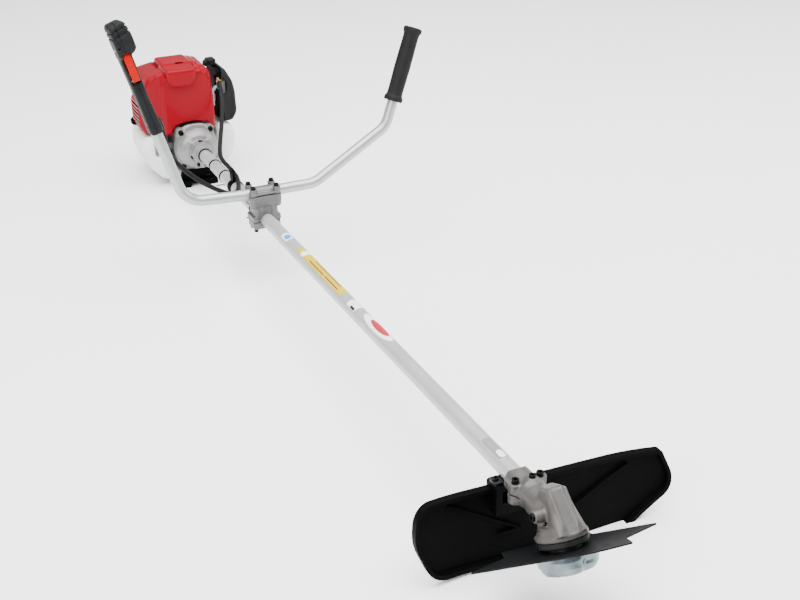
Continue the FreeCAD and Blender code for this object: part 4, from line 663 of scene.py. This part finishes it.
def gear_housing():
    """Casting: socket for the tube, clamp lugs, tapering gear tower with front ribs, flange."""
    g = Grid((-37, -40, -66), (104, 40, 24), 1.0)
    neck = rod(g, in_head(1402, 0, 0), in_head(1444, 0, 0), 20.3, 3)
    throat = rod(g, in_head(1438, 0, 0), in_head(1502, 0, 0), 20.0, 6, 24.5)
    body = join(neck, throat, 10)
    low = (g.z + 46) / 56.0              # 0 at the top of the tower, 1 near its foot
    tower = rounded_pair(np.abs(g.y) - 12.4 - 9.5 * low,
                         np.abs(g.x - 0.5 + 7.5 * low) - 13.5 - 12.5 * low, 6)
    tower = rounded_pair(tower, -(g.z + 46) - 0.1 * g.x, 4)
    tower = rounded_pair(tower, g.z - 14, 1)
    body = join(body, tower, 6)
    flange = rod(g, (0, 0, 14.5), (0, 0, 21), 35, 1.3)
    skirt = rod(g, (0, 0, 3), (0, 0, 16), 26.5, 2, 33.5)
    body = join(join(body, skirt, 5), flange, 3)
    for side in (-1, 1):
        rib = prism(g, [(-12, -43, 2), (-17.5, -43, 2), (-36, 13, 2), (-20, 14, 0)], "y",
                    side * 11 - 2.2, side * 11 + 2.2, 1.4)
        body = join(body, meet(rib, rod(g, (0, 0, -60), (0, 0, 15), 34, 0, 34)), 3.5)
    body = meet(body, g.z - 21)
    for sy in (-1, 1):
        lug = rod(g, in_head(1431, sy * 19.5, -15), in_head(1431, sy * 19.5, 16), 8.8, 1.4)
        web = rod(g, in_head(1430, sy * 8, 0), in_head(1430, sy * 20, 0), 13, 4)
        body = join(join(body, web, 5), lug, 4)
    body = join(body, rod(g, in_head(1439, 2, 10), in_head(1439, 2, 23), 7.4, 1.2), 5)
    body = join(body, rod(g, in_head(1500, -34, 12), in_head(1500, -8, 12), 8.4, 1.2), 4)
    body = carve(body, rod(g, in_head(1380, 0, 0), in_head(1470, 0, 0), SOCKET_R), 0.6)
    upwards = Vector(in_head(0, 0, 1)) - Vector(in_head(0, 0, 0))
    split = np.abs(half_space(g, in_head(1420, 0, 0), upwards)) - 1.2
    for sy in (-1, 1):
        slit = rod(g, in_head(1396, sy * 31, 0), in_head(1447, sy * 31, 0), 17)
        body = carve(body, meet(slit, split), 0.5)
        body = carve(body, rod(g, in_head(1431, sy * 19.5, 15.9), in_head(1431, sy * 19.5, 30), 6), 0.5)
    body = carve(body, rod(g, in_head(1500, -40, 12), in_head(1500, -33.6, 12), 5.9), 0.5)
    body = carve(body, rod(g, (0, 0, 15.5), (0, 0, 30), 16.1))
    body = carve(body, rod(g, (0, 0, -30), (0, 0, 15.6), 13, 0, 24))
    skin("gear_housing", g, body, HEAD, "head_casting", "frame", ["gear_case"])


def blade_cup():
    """Plated ground cup with three pressed lobes and a wavy rim."""
    g = Grid((-46, -46, 34), (46, 46, 70), 0.9)
    top = 37.0
    angle = np.arctan2(g.y, g.x)
    ring = np.hypot(g.x, g.y)
    lobe = np.exp(-((np.sin(1.5 * (angle - 0.87))) ** 2) * 9.0)
    reach = 1.0 - 0.16 * lobe * np.clip((g.z - top - 3) / 10.0, 0, 1)
    profile = [(top, 0), (top, 41.5), (top + 8, 42), (top + 19, 40), (top + 25.5, 35),
               (top + 28, 28), (top + 28, 0)]
    outer = outline_distance(g.z, ring / reach, profile)
    cup = carve(outer, outer + 2.0)
    cup = carve(cup, slab(g, (-60, -60, 20), (60, 60, top + 0.05)))
    seat = rod(g, (0, 0, top), (0, 0, top + 28), 18, 1)
    cup = join(cup, seat, 5)
    cup = carve(cup, rod(g, (0, 0, top + 3), (0, 0, top + 40), 15), 1.5)
    cup = carve(cup, rod(g, (0, 0, 0), (0, 0, 90), 5.2))
    for a in (50, 170, 290):
        hole = (29 * math.cos(math.radians(a + 60)), 29 * math.sin(math.radians(a + 60)))
        cup = carve(cup, rod(g, (*hole, 50), (*hole, 80), 4), 1)
    skin("ground_cup", g, cup, HEAD, "zinc_steel", "cutter", ["blade_cup"])


# ---------------------------------------------------------------- swept round bars
def swept(name, line, radius, slot, body, nodes, sides=28):
    """Closed round bar along a list of scene points; the radius is in millimetres."""
    heading = (line[1] - line[0]).normalized()
    across = heading.orthogonal().normalized()
    points, faces = [], []
    for i, place in enumerate(line):
        ahead = (line[min(i + 1, len(line) - 1)] - line[max(i - 1, 0)]).normalized()
        across = (across - ahead * across.dot(ahead)).normalized()
        beside = ahead.cross(across)
        for k in range(sides):
            a = 2 * math.pi * k / sides
            points.append(place + (across * math.cos(a) + beside * math.sin(a)) * (radius / 1000))
    for i in range(len(line) - 1):
        for k in range(sides):
            near, far = i * sides, (i + 1) * sides
            n = (k + 1) % sides
            faces.append((near + k, near + n, far + n, far + k))
    faces.append(tuple(reversed(range(sides))))
    faces.append(tuple((len(line) - 1) * sides + k for k in range(sides)))
    return mesh_piece(name, points, faces, slot, body, nodes)


def bent_line(corners, radii, turn_step=3.0):
    """Points of straight runs joined by tangent arcs, one every few degrees of each bend."""
    corners = [Vector(c) for c in corners]
    line = [corners[0]]
    for before, corner, after, radius in zip(corners, corners[1:], corners[2:], radii):
        back, on = (before - corner).normalized(), (after - corner).normalized()
        half = back.angle(on) / 2
        centre = corner + (back + on).normalized() * (radius / math.sin(half))
        start, end = corner + back * (radius / math.tan(half)), corner + on * (radius / math.tan(half))
        gap = start - line[-1]
        line += [line[-1] + gap * t / 6 for t in range(1, 6)]
        count = max(3, int(math.degrees(math.pi - 2 * half) / turn_step))
        u, v = start - centre, end - centre
        sweep = u.angle(v)
        for k in range(count + 1):
            t = k / count
            spoke = (u * math.sin((1 - t) * sweep) + v * math.sin(t * sweep)) / math.sin(sweep)
            line.append(centre + spoke)
    gap = corners[-1] - line[-1]
    line += [line[-1] + gap * t / 6 for t in range(1, 7)]
    return line


# (forward, left, up) in the bar's frame; the ends are inside the grips
BAR_CORNERS = [(0, -217.0, 232.0), (0, -159.4, 7.0), (0, -38.0, 0.0), (0, 112.7, 0.0), (0, 281.5, 92.0),
               (0, 359.4, 280.4)]


def handlebar_tube():
    """The bar from grip to grip, through its four bends."""
    line = [BAR @ p for p in bent_line(BAR_CORNERS, (50, 90, 60, 50))]
    swept("handlebar_tube", line, BAR_R, "bar_paint", "handlebar", ["handlebar"])


def nose_details():
    """Dark screws in the windows of the clutch nose, and the seal where the tube enters it."""
    heads = (((-31.5, 0, 20), (-31.5, 0, 27.2)), ((-29.5, -19, -8), (-29.5, -25.6, -10.6)),
             ((-29.5, 19, -8), (-29.5, 25.6, -10.6)))
    for k, (foot, top) in enumerate(heads):
        line = [SHAFT @ Vector(foot).lerp(Vector(top), t / 3) for t in range(4)]
        swept("nose_screw_%d" % (k + 1), line, 4.2, "screw_steel", "frame", [], 20)
    g = Grid((-4, -19, -19), (5, 19, 19), 0.8)
    ring = turned(g, [(-1.5, 14.2), (-1.5, 16.6), (1.6, 16.6), (1.6, 14.2)])
    skin("nose_seal", g, ring, SHAFT, "black_rubber", "frame", [])


def starter_rope():
    """Rope from its guide to the grip."""
    near, far = Vector((-251, 66, -24)), Vector((-251, 88, -24))
    line = [SHAFT @ near.lerp(far, t / 20) for t in range(21)]
    piece = swept("starter_rope_skin", line, 1.6, "rope", None, [], 12)
    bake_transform(piece)
    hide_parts("starter_rope")


# ---------------------------------------------------------------- tube labels
STICKER_COLOURS = {"white": (0.8, 0.8, 0.8), "yellow": (0.55, 0.38, 0.002), "blue": (0.03, 0.22, 0.5),
                   "grey": (0.2, 0.2, 0.2), "red": (0.35, 0.02, 0.03), "dark": (0.02, 0.02, 0.02)}


def sticker_finish(name, colour):
    """Smooth printed film; the coloured ones are duller than the white and grey ones."""
    plain = name in ("white", "grey")
    return surface("label_" + name, colour, 0.4 if name == "dark" else 0.35,
                   mottle={"white": 0.03, "dark": 0.1}.get(name, 0.04), patch=60, grain=900,
                   depth=0.005, specular=0.5 if plain else 0.2)


LABEL_FINISH = {name: sticker_finish(name, colour) for name, colour in STICKER_COLOURS.items()}
# name, middle x, half length, middle angle from +Y, half angle, roundness of the ends, colour, layer
LABELS = [("tag_white", 545, 15, 104, 38, 0.2, "white", 0),
          ("tag_blue", 547, 9, 104, 24, 0.15, "blue", 1),
          ("patch_yellow", 714, 104, 92, 42, 0.03, "yellow", 0),
          ("patch_band", 634, 9, 92, 40, 0.6, "white", 1),
          ("patch_bar_a", 700, 34, 112, 4, 0.1, "dark", 1),
          ("patch_bar_b", 770, 30, 112, 4, 0.1, "dark", 1),
          ("patch_bar_c", 735, 60, 76, 4, 0.1, "dark", 1),
          ("patch_small", 866, 17, 96, 44, 0.1, "white", 0),
          ("patch_small_bar", 872, 8, 128, 10, 0.1, "dark", 1),
          ("oval_white", 958, 52, 88, 50, 1.0, "white", 0),
          ("oval_red", 962, 32, 82, 32, 1.0, "red", 1),
          ("plate_grey", 1346, 26, 92, 34, 0.1, "grey", 0),
          ("plate_inner", 1362, 9, 92, 20, 0.6, "white", 1)]
FILM = 0.14              # height of a sticker over the tube
LAYER = 0.1              # further height of a sticker that lies on another
FILM_DEPTH = 0.3         # how far the underside of a sticker is let into the tube


def tube_labels():
    """Stickers without lettering around the drive tube: thin closed sheets, bars laid on top."""
    across, along = 12, 24
    for name, x, half, middle, spread_deg, ends, colour, layer in LABELS:
        outer, inner = TUBE_R + FILM + LAYER * layer, TUBE_R - FILM_DEPTH
        points = []
        for radius in (outer, inner):
            for i in range(along + 1):
                u = -math.cos(math.pi * i / along)
                past = max(0.0, (abs(u) - (1 - ends)) / ends)
                reach = max(0.02, math.sqrt(max(0.0, 1 - past * past)))
                for j in range(across + 1):
                    a = math.radians(middle + spread_deg * reach * (2 * j / across - 1))
                    spot = (x + half * u, radius * math.cos(a), radius * math.sin(a))
                    points.append(SHAFT @ Vector(spot))
        row, sheet = across + 1, (across + 1) * (along + 1)
        faces = []
        for i in range(along):
            for j in range(across):
                a, b, c, d = i * row + j, i * row + j + 1, (i + 1) * row + j + 1, (i + 1) * row + j
                faces += [(a, b, c, d), (sheet + d, sheet + c, sheet + b, sheet + a)]
        rim = list(range(across)) + [i * row + across for i in range(along)]
        rim += [along * row + j for j in range(across, 0, -1)] + [i * row for i in range(along, 0, -1)]
        for p, q in zip(rim, rim[1:] + rim[:1]):
            faces.append((q, p, sheet + p, sheet + q))
        piece = mesh_piece(name, points, faces, "tube_paint", "frame")
        piece.data.materials[0] = LABEL_FINISH[colour]       # the record has no slot for film


# ---------------------------------------------------------------- cable
CABLE_TAIL = [(352, -176, 156), (344, -150, 116), (340, -116, 80), (338, -80, 52), (330, -48, 32),
              (304, -22, 22), (264, -6, 19.9), (220, 6, 19.6), (176, 12.4, 15.5), (128, 15.3, 13.1),
              (76, 16.1, 12.1), (36, 24, 18), (-2, 42, 44), (-34, 58, 78), (-60, 68, 108),
              (-84, 74.4, 131), (-99, 76, 138.5)]


def throttle_cable():
    """Cable from the grip to the engine, on the CAD's route."""
    sleeve = Vector(SLEEVE_AT)
    route = [CONTROL @ sleeve, CONTROL @ (sleeve + Vector((0, 0, -26)))]
    route += [SHAFT @ Vector(p) for p in CABLE_TAIL]
    curve = bpy.data.curves.new("throttle_cable_line", "CURVE")
    curve.dimensions = "3D"
    spline = curve.splines.new("NURBS")
    spline.points.add(len(route) - 1)
    for point, place in zip(spline.points, route):
        point.co = (*place, 1.0)
    spline.order_u = 3
    spline.use_endpoint_u = True
    curve.resolution_u = 10
    curve.bevel_depth = CABLE_R / 1000
    curve.bevel_resolution = 5
    curve.use_fill_caps = True
    line = bpy.data.objects.new("throttle_cable_line", curve)
    bpy.context.scene.collection.objects.link(line)
    bpy.context.view_layer.update()
    mesh = bpy.data.meshes.new_from_object(line.evaluated_get(bpy.context.evaluated_depsgraph_get()))
    bpy.data.objects.remove(line)
    mesh.name = "throttle_cable_skin"
    mesh.materials.clear()
    mesh.materials.append(FINISH["black_rubber"])
    mesh.polygons.foreach_set("use_smooth", [True] * len(mesh.polygons))
    piece = bpy.data.objects.new("throttle_cable_skin", mesh)
    bpy.context.scene.collection.objects.link(piece)
    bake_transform(piece)
    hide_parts("throttle_cable")


for build in (red_cover, slatted_side, clutch_housing, fuel_tank, air_cleaner, breather, starter,
              clamp_parts, control_grip, gear_housing, blade_cup, handlebar_tube, nose_details,
              starter_rope, tube_labels, throttle_cable):
    build()


# ---------------------------------------------------------------- studio
def area_light(name, place, aim, size, power):
    """Soft rectangular lamp at a place, turned to its aim."""
    light = bpy.data.lights.new(name, "AREA")
    light.shape = "RECTANGLE"
    light.size, light.size_y = size
    light.energy = power
    lamp = bpy.data.objects.new(name, light)
    bpy.context.scene.collection.objects.link(lamp)
    lamp.location = place
    lamp.rotation_euler = (Vector(aim) - Vector(place)).to_track_quat("-Z", "Y").to_euler()


area_light("overhead", (0.3, 0.0, 3.4), (0.1, 0, 0), (4.5, 4.0), 500)
area_light("key", (2.0, -2.6, 2.2), (0, 0, 0.2), (1.6, 1.6), 90)
area_light("side", (0.6, 3.2, 1.6), (0, 0, 0.2), (2.4, 1.2), 65)
world = bpy.data.worlds.new("studio")
world.use_nodes = True
world.node_tree.nodes["Background"].inputs["Color"].default_value = (1, 1, 1, 1)
world.node_tree.nodes["Background"].inputs["Strength"].default_value = 0.75
bpy.context.scene.world = world

floor_mesh = bpy.data.meshes.new("floor")
reach = 12.0             # metres, half the side of the floor
floor_mesh.from_pydata([(-reach, -reach, 0), (reach, -reach, 0), (reach, reach, 0), (-reach, reach, 0)], [],
                       [(0, 1, 2, 3)])
floor_mesh.materials.append(surface("floor", (0.97, 0.97, 0.97), 0.8, mottle=0.01, patch=1, grain=40,
                                    depth=0.05))
floor = bpy.data.objects.new("floor", floor_mesh)
bpy.context.scene.collection.objects.link(floor)

# camera: seen from ahead of the cutter, to the operator's right and above
CAMERA_AT = Vector((2490.7, -686.3, 927.5))
CAMERA_RIGHT = Vector((0.433, 0.901, -0.010))
CAMERA_FORWARD = Vector((-0.803, 0.381, -0.459))
camera_data = bpy.data.cameras.new("camera")
camera = bpy.data.objects.new("camera", camera_data)
bpy.context.scene.collection.objects.link(camera)
camera_data.sensor_width = 36.0
camera_data.lens = 52.16
camera_data.shift_y = 0.002
turn = SHAFT.to_3x3().normalized()
right = (turn @ CAMERA_RIGHT).normalized()
forward = (turn @ CAMERA_FORWARD).normalized()
upward = right.cross(forward).normalized()
camera.matrix_world = Matrix((right, upward, -forward)).transposed().to_4x4()
camera.location = SHAFT @ CAMERA_AT
bpy.context.scene.camera = camera
